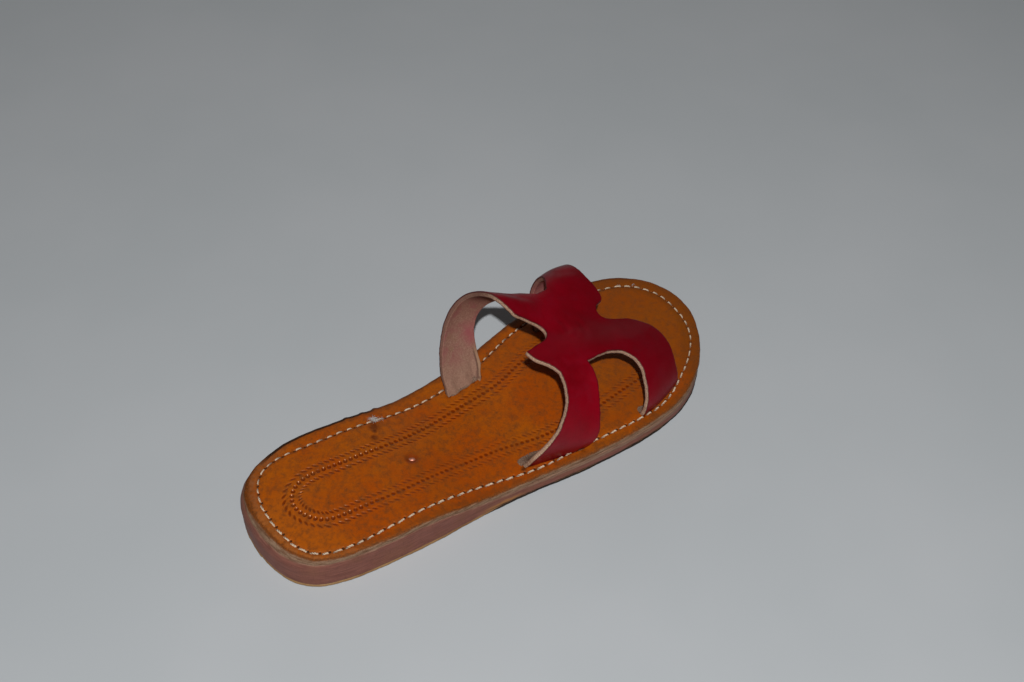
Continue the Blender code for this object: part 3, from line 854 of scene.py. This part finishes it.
def build_stitches():
    """Two-ply stitches that leave each needle hole open at its inner side."""
    rng = np.random.default_rng(SEED + 5)
    share = np.linspace(0.0, 1.0, STITCH_STEPS)
    rise = np.interp(share, *np.array(STITCH_RISE).T)
    shell = Shell()
    for k, (hole, out) in enumerate(zip(HOLES, HOLE_OUT)):
        n = (k + 1) % len(HOLES)
        start = HOLES[n] + HOLE_OUT[n] * rng.uniform(0.0, 0.2)
        inner, toe, straight = HOLE_INNER[k], HOLE_TOE[k], 1.0 - 0.8 * HOLE_IN_LINE[k]
        stop = hole + out * rng.uniform(0.3, 0.6) * straight
        low, high = STITCH_SHOWN
        low += 0.06 * inner + 0.04 * toe
        high -= rng.uniform(0.0, 0.18) * inner + 0.06 * toe
        first = start + (stop - start) * (low + rng.uniform(-0.03, 0.03))
        last = start + (stop - start) * (high + rng.uniform(-0.04, 0.04))
        flat = first + (last - first) * share[:, None]
        flat += out * (np.sin(np.pi * share) * rng.uniform(0.0, 0.25) * straight)[:, None]
        lift = rise * rng.uniform(0.8, 1.1) * np.where(rise > 0.0, 1.0 - 0.75 * inner - 0.6 * toe, 1.0)
        middle = raised(flat, lift)
        phase = rng.uniform(0.0, 2.0 * np.pi)
        thick = THREAD_PLY * rng.uniform(0.88, 1.08) * (1.0 - 0.16 * inner - 0.14 * toe)
        # Darkening of each stitch: random, and more on the inner side.
        darkening = rng.uniform(-0.15, 0.2) + rng.uniform(0.0, 0.35) * inner
        for ply in (0.0, np.pi):
            turn = phase + ply + share * THREAD_TURNS * 2.0 * np.pi
            path = middle + np.append(out, 0.0) * (np.cos(turn) * thick * 0.9)[:, None]
            path[:, 2] += np.sin(turn) * thick * 0.9
            radius = thick * np.interp(share, [0.0, 0.1, 0.85, 1.0], [0.7, 1.0, 0.92, 0.6])
            rings = tube_rings(path, radius, 8)
            # crevice: painted shade in the crevice between the two plies.
            inward = np.linalg.norm(rings - middle[:, None], axis=2)
            crevice = 1.0 - np.clip(inward / (1.7 * thick), 0.0, 1.0)
            shell.tube(rings, tone=(0.8 * share[:, None] + darkening + 0.75 * crevice).ravel())
    return shell.made("edge_stitches")


# Tufts of loose thread ends: place, number of hairs, spread and length.
TUFTS = [((-27.1, 77), 110, 1.7, 2.3), ((-25.9, 80.8), 10, 0.9, 1.8), ((-24.5, 238.6), 10, 1.2, 1.3),
         ((-29.6, 232.2), 8, 1.2, 1.3)]


HAIR = 0.085


def build_tufts():
    """Fine loose fibres where the thread was tied off, and where it has frayed."""
    rng = np.random.default_rng(SEED + 9)
    share = np.linspace(0.0, 1.0, 7)
    shell = Shell()
    for place, number, spread, reach in TUFTS:
        for _ in range(number):
            root = np.array(place) + rng.normal(0.0, spread * 0.45, 2)
            heading, lift = rng.uniform(0.0, 2.0 * np.pi), rng.uniform(0.15, 0.8)
            length = reach * rng.uniform(0.4, 1.0)
            angle = heading + rng.uniform(-1.2, 1.2) * share
            flat = root + np.column_stack([np.cos(angle), np.sin(angle)]) * (length * share)[:, None]
            path = raised(flat, 0.1 + lift * np.sin(np.pi * 0.75 * share) * length * 0.5)
            shell.tube(tube_rings(path, HAIR * (1.0 - 0.6 * share), 5), tone=0.3)
    return shell.made("thread_ends")


# Frayed leather where legs meet the insole, as (line on the leg's inner face as (u, y), line on the insole).
FLAPS = [
    ([(0.99, 119.4), (0.94, 120.4), (0.89, 121.6), (0.86, 124), (0.87, 127.4), (0.92, 132)],
     [(35, 118.2), (32.6, 117.8), (31, 118.9), (30.6, 122.4), (30.9, 126.3), (32, 130), (34.6, 133.2)]),
    ([(0.99, 184), (0.94, 185), (0.92, 187.2), (0.96, 190.2)],
     [(42.4, 183.6), (40.5, 184.6), (40.5, 187.2), (41.6, 190.2)]),
    ([(-0.955, 136.6), (-0.965, 131), (-0.965, 124), (-0.97, 117.2)],
     [(-23.4, 136), (-21.4, 133.4), (-21.4, 130.6), (-20.5, 127), (-20.8, 123.6), (-20.1, 120.6),
      (-20.2, 118), (-21.8, 116.5)]),
]
FLAP_ACROSS = 14
FLAP_STEP = 0.35
WEB_THICK = 1.0


def build_flaps():
    """Thin webs that fall from a leg's inner face to a ragged line on the insole."""
    rng = np.random.default_rng(SEED + 17)
    shell = Shell()
    for near, far in FLAPS:
        far = even_curve(far, FLAP_STEP)
        count = len(far)
        point, normal = upper_surface(*edge_points(near, count - 1).T)
        near = point - normal * (LEATHER - 0.5)
        keep_above(near, 0.3)
        far = raised(far, 0.04)
        ragged = rng.uniform(-0.07, 0.07, count)
        sag = rng.uniform(-0.2, 0.2, count) * 3.0 - (near[:, 2] - far[:, 2]) * 0.9
        rows = []
        for s in np.linspace(0.0, 1.0, FLAP_ACROSS):
            t = s * (1.0 + ragged[:, None] * s)
            row = near * (1.0 - t) + far * t
            row[:, 2] += sag * s * (1.0 - s)
            rows.append(row)
        top = np.vstack(rows)
        keep_above(top, 0.03)
        low = top - [0.0, 0.0, WEB_THICK]
        keep_above(low, -0.25)
        above, below = (shell.add(face).reshape(FLAP_ACROSS, count) for face in (top, low))
        for i in range(FLAP_ACROSS - 1):
            shell.faces += strip(above[i], above[i + 1], closed=False)
            shell.faces += strip(below[i + 1], below[i], closed=False)
        rim = np.concatenate([above[0], above[1:, -1], above[-1, -2::-1], above[-2:0:-1, 0]])
        shell.faces += strip(rim + len(top), rim)
    return shell.made("frayed_flaps")


# The tack head's outline, from the middle of its top to the middle of its underside: radius, height.
TACK = [(0, 0.42), (0.35, 0.4), (0.7, 0.33), (1, 0.22), (1.25, 0.06), (1.38, -0.08), (1.36, -0.3), (0, -0.4)]
TACK_SIDES = 28


def build_tack():
    """Small domed tack head, oval and sunk in its dent."""
    axes = np.array([(0.59, 0.81), (-0.81, 0.59)]) * [[1.3], [0.7]]
    base = float(sole_top(NAIL[1])) - NAIL_DENT[1] + 0.12
    shell = Shell()
    rows = []
    for radius, z in TACK[1:-1]:
        flat = NAIL + radius * circle(TACK_SIDES) @ axes
        rows.append(shell.add(np.column_stack([flat, np.full(TACK_SIDES, base + z)])))
    top, bottom = shell.add(np.array([(*NAIL, base + TACK[0][1]), (*NAIL, base + TACK[-1][1])]))
    for high, low in zip(rows, rows[1:]):
        shell.faces += strip(low, high)
    for row, end in ((rows[0], top), (rows[-1][::-1], bottom)):
        shell.faces += [(a, b, end) for a, b in zip(row, np.roll(row, -1))]
    return shell.made("tack_head")


# ---- materials

def linear(*screen):
    """Linear colour from three 0-255 screen values."""
    shares = [value / 255.0 for value in screen]
    return (*(c / 12.92 if c <= 0.04045 else ((c + 0.055) / 1.055) ** 2.4 for c in shares), 1.0)


class Finish:
    """A material with short calls for the nodes used here. Lengths are in millimetres, colours 0-255."""

    def __init__(self, name, roughness, **settings):
        self.material = bpy.data.materials.new(name)
        self.material.use_nodes = True
        self.nodes = self.material.node_tree.nodes
        self.shader = self.nodes["Principled BSDF"]
        for key, value in {"Roughness": roughness, **settings}.items():
            self.shader.inputs[key.replace("_", " ")].default_value = value
        place = self.nodes.new("ShaderNodeTexCoord").outputs["Object"]
        self.place = self.vector("SCALE", place, Scale=1.0 / MM).outputs[0]
        self.x, self.y, self.z = self.node("SeparateXYZ", {0: self.place}).outputs

    def node(self, kind, inputs, **settings):
        """A shader node with its settings, and its inputs linked or set. A None input is left alone."""
        node = self.nodes.new("ShaderNode" + kind)
        for key, value in settings.items():
            setattr(node, key, value)
        for key, value in inputs.items():
            if value is not None:
                self.put(node.inputs[key], value)
        return node

    def put(self, socket, value):
        if isinstance(value, bpy.types.NodeSocket):
            self.material.node_tree.links.new(value, socket)
        else:
            socket.default_value = value

    def vector(self, operation, a, b=None, **inputs):
        return self.node("VectorMath", {0: a, 1: b, **inputs}, operation=operation)

    def value(self, key):
        return self.node("Attribute", {}, attribute_name=key).outputs["Fac"]

    def math(self, operation, *values):
        return self.node("Math", dict(enumerate(values)), operation=operation).outputs[0]

    def add(self, a, b):
        return self.math("ADD", a, b)

    def times(self, *values):
        """The product, as for a mask that needs all of its parts."""
        product = values[0]
        for value in values[1:]:
            product = self.math("MULTIPLY", product, value)
        return product

    def line(self, value, slope, start):
        return self.math("MULTIPLY_ADD", value, slope, start)

    def blur(self, value, noise, amount):
        """The value, moved up and down by the noise over the amount in all."""
        return self.add(value, self.line(noise, amount, -0.5 * amount))

    def stretched(self, x, y, z):
        return self.vector("MULTIPLY", self.place, (x, y, z)).outputs[0]

    def noise(self, size, detail=3.0, rough=0.55, where=None, distortion=0.0):
        """Noise from 0 to 1 whose patches are about size millimetres."""
        inputs = {"Vector": self.place if where is None else where, "Scale": 1.0 / size, "Detail": detail,
                  "Roughness": rough, "Distortion": distortion}
        return self.node("TexNoise", inputs).outputs["Fac"]

    def cells(self, size):
        return self.node("TexVoronoi", {"Vector": self.place, "Scale": 1.0 / size}).outputs["Distance"]

    def spread(self, value, low, high, to_low=0.0, to_high=1.0):
        """The value's stretch from low to high, spread smoothly over to_low to to_high."""
        inputs = {"Value": value, "From Min": low, "From Max": high, "To Min": to_low, "To Max": to_high}
        return self.node("MapRange", inputs, interpolation_type="SMOOTHSTEP").outputs["Result"]

    def rise(self, value, low, high, top=1.0):
        return self.spread(value, low, high, 0.0, top)

    def fall(self, value, low, high, top=1.0):
        return self.spread(value, low, high, top, 0.0)

    def mix(self, share, a, b):
        """From a to b by the share. A colour is three screen values or another mix."""
        a, b = (linear(*colour) if isinstance(colour, tuple) else colour for colour in (a, b))
        return self.node("Mix", {0: share, 6: a, 7: b}, data_type="RGBA").outputs[2]

    def coats(self, colour, *coats):
        """The colour with each coat, as (share, colour), laid over it."""
        for share, coat in coats:
            colour = self.mix(share, colour, coat)
        return colour

    def bump(self, height, distance, strength=1.0, before=None):
        """Bump whose height of 1 stands distance millimetres proud."""
        inputs = {"Distance": distance * MM, "Strength": strength, "Height": height, "Normal": before}
        return self.node("Bump", inputs).outputs["Normal"]

    def done(self, colour, roughness=None, normal=None):
        for key, value in (("Base Color", colour), ("Roughness", roughness), ("Normal", normal)):
            if value is not None:
                self.put(self.shader.inputs[key], value)
        return self.material


# Stains on the insole: place, radius, softness, strength and colour.
STAINS = [
    (-22.9, 74.4, 0.9, 3.2, 0.8, (88, 30, 2)), (-16.8, 70.6, 0.3, 2.4, 0.8, (88, 30, 2)),
    (-20.4, 73.0, 0.2, 1.6, 0.8, (88, 30, 2)), (36.6, 118.0, 0.4, 1.7, 0.85, (58, 22, 6)),
    (*NAIL, 2.0, 2.6, 0.7, (120, 38, 8)),
]


def stain(f, x, y, radius, soft, strength, colour):
    """A coat within radius of a place on the insole, fading to nothing."""
    place = (x - CENTRE[0], y - CENTRE[1], 0.0)
    away = f.vector("DISTANCE", f.stretched(1.0, 1.0, 0.0), place).outputs["Value"]
    return f.times(f.fall(f.blur(away, f.noise(1.6), soft), radius, radius + soft), strength), colour


def inner_heel(f):
    return f.times(f.fall(f.x, -24, -8), f.fall(f.y, -90, -65))


def footbed_finish():
    f = Finish("tan_leather", 0.5, Specular_Tint=(1.0, 0.62, 0.34, 1.0))
    broad, patch, fine = f.noise(30, 4, 0.6), f.noise(6.5, 6, 0.68, distortion=0.8), f.noise(0.7, 4, 0.75)
    streak, speck = f.noise(1.0, 4, 0.65, f.stretched(0.16, 0.16, 1.3)), f.noise(0.55, 3, 0.7)
    drop, margin, groove, marks = map(f.value, ("drop", "margin", "groove", "marks"))
    toe = f.times(f.rise(f.y, 10, 95), f.spread(margin, 5, 8, 0.25, 1.0), 0.6)
    tip = f.times(f.rise(f.y, 84, 104), f.fall(margin, 6, 9, 0.7))
    grime = f.times(f.fall(margin, 0.4, 3.2, 0.5), f.rise(patch, 0.25, 0.6))
    heel = f.times(f.fall(margin, 0.6, 4.2, 0.75), f.fall(f.y, -104, -84))
    rear = f.times(f.fall(f.y, -110, -84, 0.4), f.spread(f.x, -24, -8, 0.2, 1.0))
    face = f.coats(
        (183, 92, 6), (f.rise(broad, 0.35, 0.65), (181, 79, 2)),
        (f.rise(patch, 0.40, 0.68, 0.4), (158, 70, 4)),
        (f.rise(f.noise(1.4, 4, 0.7), 0.52, 0.72, 0.4), (198, 98, 12)),
        (f.rise(fine, 0.44, 0.7, 0.35), (126, 50, 2)), (toe, (134, 68, 12)), (tip, (122, 64, 12)),
        (grime, (112, 60, 22)), (f.times(heel, f.rise(f.noise(2.4, 4, 0.7), 0.3, 0.6)), (150, 96, 62)),
        (rear, (196, 108, 22)), (f.rise(marks, 0.02, 0.4, 0.8), (106, 30, 0)),
        (f.times(groove, f.line(f.fall(f.x, -28, -24), 0.3, 0.35)), (92, 44, 14)),
        *(stain(f, *row) for row in STAINS),
    )
    # Down the side: a worn rim, then the raw pale leather, and painted shade along the inner side's rounded
    # edge, which turns away from the light.
    raw = f.coats(
        (158, 128, 104), (f.rise(streak, 0.35, 0.68), (118, 84, 62)),
        (f.rise(speck, 0.5, 0.72, 0.7), (82, 58, 44)),
    )
    deep = f.blur(drop, f.noise(3.2, 5, 0.75), 1.1)
    inner = f.times(f.fall(f.x, -32, -29), f.rise(f.y, -108, -98), f.spread(f.y, -52, -34, 0.95, 0.3))
    # dark: painted shade on the rounded inner edge, where it turns from the light.
    dark = f.times(f.fall(f.blur(margin, f.noise(2.5), 0.6), 0.05, 0.6), f.spread(drop, 0.7, 1.3, 1.0, 0.3))
    colour = f.coats(
        face,
        (f.rise(deep, -0.12, 0.3), f.mix(f.rise(speck, 0.35, 0.65), (142, 74, 24), (96, 56, 28))),
        (f.rise(f.line(inner_heel(f), -1.3, deep), 0.3, 1.2), raw), (f.times(inner, dark), (40, 22, 13)),
        # Painted shade in the needle holes, weaker towards the toe.
        (f.times(f.rise(f.value("holes"), 0.15, 0.7), f.spread(f.y, 60, 100, 0.95, 0.6)), (40, 16, 8)),
    )
    rough = f.math("SUBTRACT", f.spread(patch, 0.3, 0.75, 0.46, 0.6), f.rise(marks, 0.1, 0.4, 0.24))
    rough = f.math("MAXIMUM", rough, f.spread(drop, 0.1, 0.6, 0.3, 0.9))
    shine = f.spread(marks, 0.08, 0.3, 0.42, f.spread(f.y, -74, -44, 0.9, 0.3))
    f.put(f.shader.inputs["Specular IOR Level"], f.times(shine, f.spread(drop, 0.1, 0.6, 1.0, 0.2)))
    grain = f.line(f.cells(0.55), 0.5, f.noise(0.35, 2))
    fibres = f.times(f.add(streak, speck), f.rise(drop, 0.1, 0.7))
    normal = f.bump(fibres, 0.24, 0.9, f.bump(grain, 0.03, 0.7, f.bump(patch, 0.14, 0.2)))
    return f.done(colour, rough, normal)


def strap_finish():
    f = Finish("red_leather", 0.45, Specular_IOR_Level=0.3, Specular_Tint=(1.0, 0.5, 0.6, 1.0))
    rim = f.value("from_rim")
    depth = f.blur(f.value("wall"), f.noise(0.7, 3, 0.7), 0.14)
    cloud = f.noise(7.0, 5, 0.65, distortion=0.5)
    speck, nap = f.noise(0.5, 4, 0.7), f.noise(0.8, 5, 0.72)
    red = f.coats(
        (138, 0, 21), (f.rise(f.noise(24, 4, 0.6), 0.35, 0.65), (122, 0, 15)),
        (f.rise(cloud, 0.45, 0.72, 0.5), (126, 6, 27)),
        (f.rise(f.noise(1.1, 4, 0.6), 0.5, 0.8, 0.35), (98, 1, 11)),
        (f.fall(f.blur(rim, f.noise(1.5), 0.8), 0.4, 1.2, 0.4), (70, 0, 8)),
        (f.rise(f.y, 35, 80, 0.4), (92, 0, 8)),
    )
    high = f.rise(f.z, 16, 30)
    blush = f.times(
        f.rise(f.z, 23, 29), f.fall(f.z, 33, 42), f.rise(f.y, 8, 14, 0.45), f.fall(f.x, -32, -26)
    )
    # The curled corner at the foot of the inner rear leg: a pale worn edge behind a crease darkened with
    # painted shadow.
    corner = f.times(f.fall(f.x, -21, -19), f.fall(f.z, 20, 26), f.rise(f.y, 5, 8), f.fall(f.y, 26, 30))
    behind = f.blur(rim, f.noise(5.0), 1.0)
    crease_shadow = f.times(corner, f.rise(behind, 1.5, 2.0), f.fall(behind, 2.1, 3.0, 0.6))
    flesh = f.coats(
        (164, 126, 108), (f.rise(nap, 0.34, 0.66), (140, 101, 87)),
        (f.line(high, -0.3, 0.3), (158, 132, 108)),
        (f.times(f.rise(f.noise(8.0, 4, 0.65, distortion=0.6), 0.44, 0.68, 0.6), high), (150, 84, 86)),
        (f.rise(f.noise(11.0), 0.55, 0.72, 0.4), (136, 108, 74)), (blush, (164, 78, 90)),
        # Painted shade on the flesh side high on the inner side of the arch, under the strap's top.
        (f.times(f.rise(f.x, -37, -28, 0.85), f.rise(f.z, 45, 54)), (52, 30, 24)),
        (f.times(corner, f.fall(behind, 1.6, 2.2, 0.7)), (166, 134, 106)), (crease_shadow, (72, 46, 40)),
    )
    # The cut edge: pale on the outer legs, and skived and darker on the inner side.
    inner = f.fall(f.x, -30, -16)
    skived = f.mix(f.spread(f.z, 30, 50, 0.5, 0.7), flesh, (84, 54, 46))
    raw = f.coats(
        (206, 176, 148), (f.rise(speck, 0.4, 0.62), (160, 122, 98)),
        (f.rise(f.noise(0.35, 3, 0.7), 0.57, 0.74, 0.75), (86, 52, 44)), (f.times(inner, 0.9), skived),
        # Painted shade along the cut edge's corner with the grain face, wider on the inner side.
        (f.fall(depth, f.line(inner, 0.1, 0.08), f.line(inner, 0.16, 0.22), 0.9), (64, 22, 25)),
    )
    cut = f.rise(depth, 0.02, 0.07)
    colour = f.coats(red, (cut, raw), (f.rise(depth, f.line(inner, 0.42, 0.45), 1.0), flesh))
    rough = f.spread(depth, 0.02, 0.07, f.spread(cloud, 0.3, 0.7, 0.36, 0.5), 0.92)
    smooth = f.bump(f.line(f.cells(0.7), 0.4, f.noise(0.5)), 0.03, 0.45, f.bump(cloud, 0.2, 0.5))
    coarse = f.bump(f.add(nap, speck), 0.11, 0.7)
    normal = f.node("Mix", {0: cut, 4: smooth, 5: coarse}, data_type="VECTOR").outputs[1]
    return f.done(colour, rough, normal)


def stack_finish():
    f = Finish("stacked_leather", 0.65, Specular_IOR_Level=0.25)
    streak = f.noise(1.0, 5, 0.65, f.stretched(0.12, 0.12, 1.6))
    upright = f.noise(1.0, 4, 0.65, f.stretched(1.4, 1.4, 0.25))
    broad, speck = f.noise(14, 4, 0.6), f.noise(0.6, 3, 0.7)
    mauve = f.coats(
        (140, 88, 74), (f.rise(streak, 0.35, 0.7), (114, 68, 57)),
        (f.rise(broad, 0.45, 0.7, 0.5), (132, 88, 66)), (f.rise(upright, 0.52, 0.75, 0.4), (96, 56, 48)),
        (f.rise(speck, 0.58, 0.76, 0.5), (78, 46, 38)),
    )
    pale = f.coats(
        (152, 118, 96), (f.rise(streak, 0.4, 0.65), (120, 84, 66)),
        (f.rise(speck, 0.55, 0.75, 0.6), (84, 56, 40)),
    )
    # The pale band under the insole is deeper to the front. Below it: a tan patch on the waist's outer
    # side, and painted shadow along the foot of the sole's front half, where it meets the floor.
    drop = f.blur(f.value("drop"), f.noise(5.0, 5, 0.72, f.stretched(1.0, 1.0, 2.0)), 2.4)
    drop = f.math("SUBTRACT", f.add(drop, inner_heel(f)), f.rise(f.y, -45, 35, 2.3))
    tan = f.times(f.rise(f.y, -38, -26), f.fall(f.y, -18, -9), f.rise(f.x, 20, 30))
    foot = f.blur(f.value("above"), f.noise(4.0), 0.4)
    colour = f.coats(
        pale,
        (f.rise(drop, 3.0, 4.3), mauve),
        (f.times(tan, f.fall(f.blur(f.z, f.noise(5.0), 3.0), 3.4, 4.8, 0.85)), (164, 112, 66)),
        (f.times(f.fall(foot, 0.45, 1.0, 0.9), f.rise(f.y, -36, -22)), (34, 22, 16)),
    )
    normal = f.bump(streak, 0.14, 0.6, f.bump(f.add(speck, upright), 0.08, 0.5))
    return f.done(colour, f.spread(broad, 0.3, 0.7, 0.55, 0.72), normal)


def outsole_finish():
    f = Finish("sole_leather", 0.6, Specular_IOR_Level=0.25)
    broad, fine = f.noise(18, 5, 0.6), f.noise(0.8, 4, 0.65)
    above = f.value("drop")
    front, side = f.rise(f.y, -36, -22), f.rise(above, 0.0, 0.02)
    low = f.line(front, -1.1, f.blur(above, f.noise(4.0), 0.5))
    colour = f.coats(
        (160, 124, 82), (f.rise(broad, 0.35, 0.65), (132, 94, 58)),
        (f.rise(fine, 0.5, 0.75, 0.5), (108, 74, 46)), (f.times(front, side, 0.7), (112, 74, 50)),
        # Painted shadow along the bottom of the side, where it meets the floor, higher from the waist
        # forward.
        (f.times(f.fall(low, 0.22, 0.5, 0.95), side), (26, 17, 12)),
    )
    return f.done(colour, f.spread(broad, 0.3, 0.7, 0.5, 0.7), f.bump(fine, 0.06, 0.5))


def thread_finish(name, light, dark):
    f = Finish(name, 0.6)
    fibre = f.noise(0.35, 3, 0.7)
    # darkening: painted shade in the crevice between the plies, darker towards each stitch's end, random per
    # stitch and more on the inner side.
    darkening = f.rise(f.value("tone"), 0.55, 1.0, 0.85)
    colour = f.coats(light, (f.rise(fibre, 0.35, 0.7), dark), (darkening, (112, 86, 68)))
    return f.done(colour, None, f.bump(fibre, 0.05, 0.7))


def frayed_finish():
    f = Finish("frayed_leather", 0.92, Specular_IOR_Level=0.1)
    fibre = f.noise(0.45, 4, 0.75)
    colour = f.coats(
        (158, 132, 114), (f.rise(fibre, 0.35, 0.6), (118, 90, 74)),
        (f.rise(f.noise(1.0, 4, 0.7), 0.52, 0.72, 0.6), (78, 54, 44)),
    )
    return f.done(colour, None, f.bump(fibre, 0.25))


def tack_finish():
    f = Finish("tack_with_painted_highlight", 0.34, Metallic=0.5)
    highlight_and_wear = f.noise(0.5, 3, 0.6)
    # The pale copper colour is partly a painted highlight on the head, mottled with darker worn patches.
    colour = f.mix(f.rise(highlight_and_wear, 0.45, 0.7), (220, 150, 124), (150, 82, 58))
    return f.done(colour, f.spread(highlight_and_wear, 0.3, 0.7, 0.3, 0.5), f.bump(highlight_and_wear, 0.04, 0.5))


def floor_finish():
    f = Finish("pale_floor", 0.85)
    return f.done(f.mix(f.rise(f.noise(160), 0.3, 0.7), (196, 201, 204), (201, 205, 208)))


# ---- parts

upper = build_upper()
insole = build_insole()
midsole = build_midsole()
outsole = build_outsole()
for piece, finish, slot in (
    (upper, strap_finish(), "upper"),
    (insole, footbed_finish(), "insole"),
    (midsole, stack_finish(), "midsole"),
    (outsole, outsole_finish(), "outsole"),
    (build_stitches(), thread_finish("waxed_thread", (240, 222, 196), (190, 164, 134)), "insole"),
    (build_tufts(), thread_finish("frayed_thread", (208, 202, 198), (150, 142, 138)), "insole"),
    (build_flaps(), frayed_finish(), "upper"),
    (build_tack(), tack_finish(), "insole"),
):
    piece.data.materials.append(finish)
    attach(piece, "root")
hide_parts("upper")
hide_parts("insole")
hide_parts("midsole")
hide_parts("outsole")

# ---- floor, lights and camera

# Half the width of the floor, in metres.
FLOOR_REACH = 3.0
corners = [(x * FLOOR_REACH, y * FLOOR_REACH, 0) for x, y in ((-1, -1), (1, -1), (1, 1), (-1, 1))]
floor_mesh = bpy.data.meshes.new("floor")
floor_mesh.from_pydata(corners, [], [(0, 1, 2, 3)])
floor_mesh.materials.append(floor_finish())
floor = link("floor", floor_mesh)

# The camera's place in the solids' frame, its pitch down and turn in degrees, and its lens and sensor.
CAMERA_PLACE = (330.85, -239.88, 487.33)
CAMERA_PITCH = 46.0
CAMERA_TURN = 52.70
CAMERA_LENS = 45.703
SENSOR_WIDTH = 36.0
camera_data = bpy.data.cameras.new("camera")
camera_data.lens = CAMERA_LENS
camera_data.sensor_width = SENSOR_WIDTH
camera_data.clip_start = 0.01
camera = link("camera", camera_data)
camera.location = Vector(CAMERA_PLACE) * MM
camera.rotation_euler = (math.radians(90.0 - CAMERA_PITCH), 0.0, math.radians(CAMERA_TURN))
bpy.context.scene.camera = camera

# Lights, in metres and watts. A small key light stands beyond the camera's right.
KEY_AIM = Vector((0.0, 0.02, 0.02))
KEY_ELEVATION = math.radians(52.0)
KEY_AZIMUTH = math.radians(324.0)
KEY_DISTANCE = 1.2
KEY_POWER = 10.6
KEY_WIDTH = 0.03
# A weak broad light low behind the inner side gives the strap its soft sheen.
SHEEN_FROM = Vector((-0.95, 0.5, 0.26))
SHEEN_POWER = 0.75
SHEEN_SIZE = (1.1, 0.5)
FILL = 0.036


def lamp(name, shape, size, power, away):
    """Area light that shines on KEY_AIM from the place away from it."""
    data = bpy.data.lights.new(name, "AREA")
    data.shape = shape
    data.size, data.size_y = size
    data.energy = power
    light = link(name, data)
    light.location = KEY_AIM + away
    light.rotation_euler = away.to_track_quat("Z", "Y").to_euler()


to_key = Vector((math.cos(KEY_AZIMUTH), math.sin(KEY_AZIMUTH), math.tan(KEY_ELEVATION))).normalized()
lamp("key", "DISK", (KEY_WIDTH, KEY_WIDTH), KEY_POWER, to_key * KEY_DISTANCE)
lamp("sheen", "RECTANGLE", SHEEN_SIZE, SHEEN_POWER, SHEEN_FROM)

world = bpy.data.worlds.new("studio")
world.use_nodes = True
background = world.node_tree.nodes["Background"]
background.inputs["Color"].default_value = (1.0, 0.95, 0.92, 1.0)
background.inputs["Strength"].default_value = FILL
bpy.context.scene.world = world
bpy.context.scene.view_settings.view_transform = "Standard"
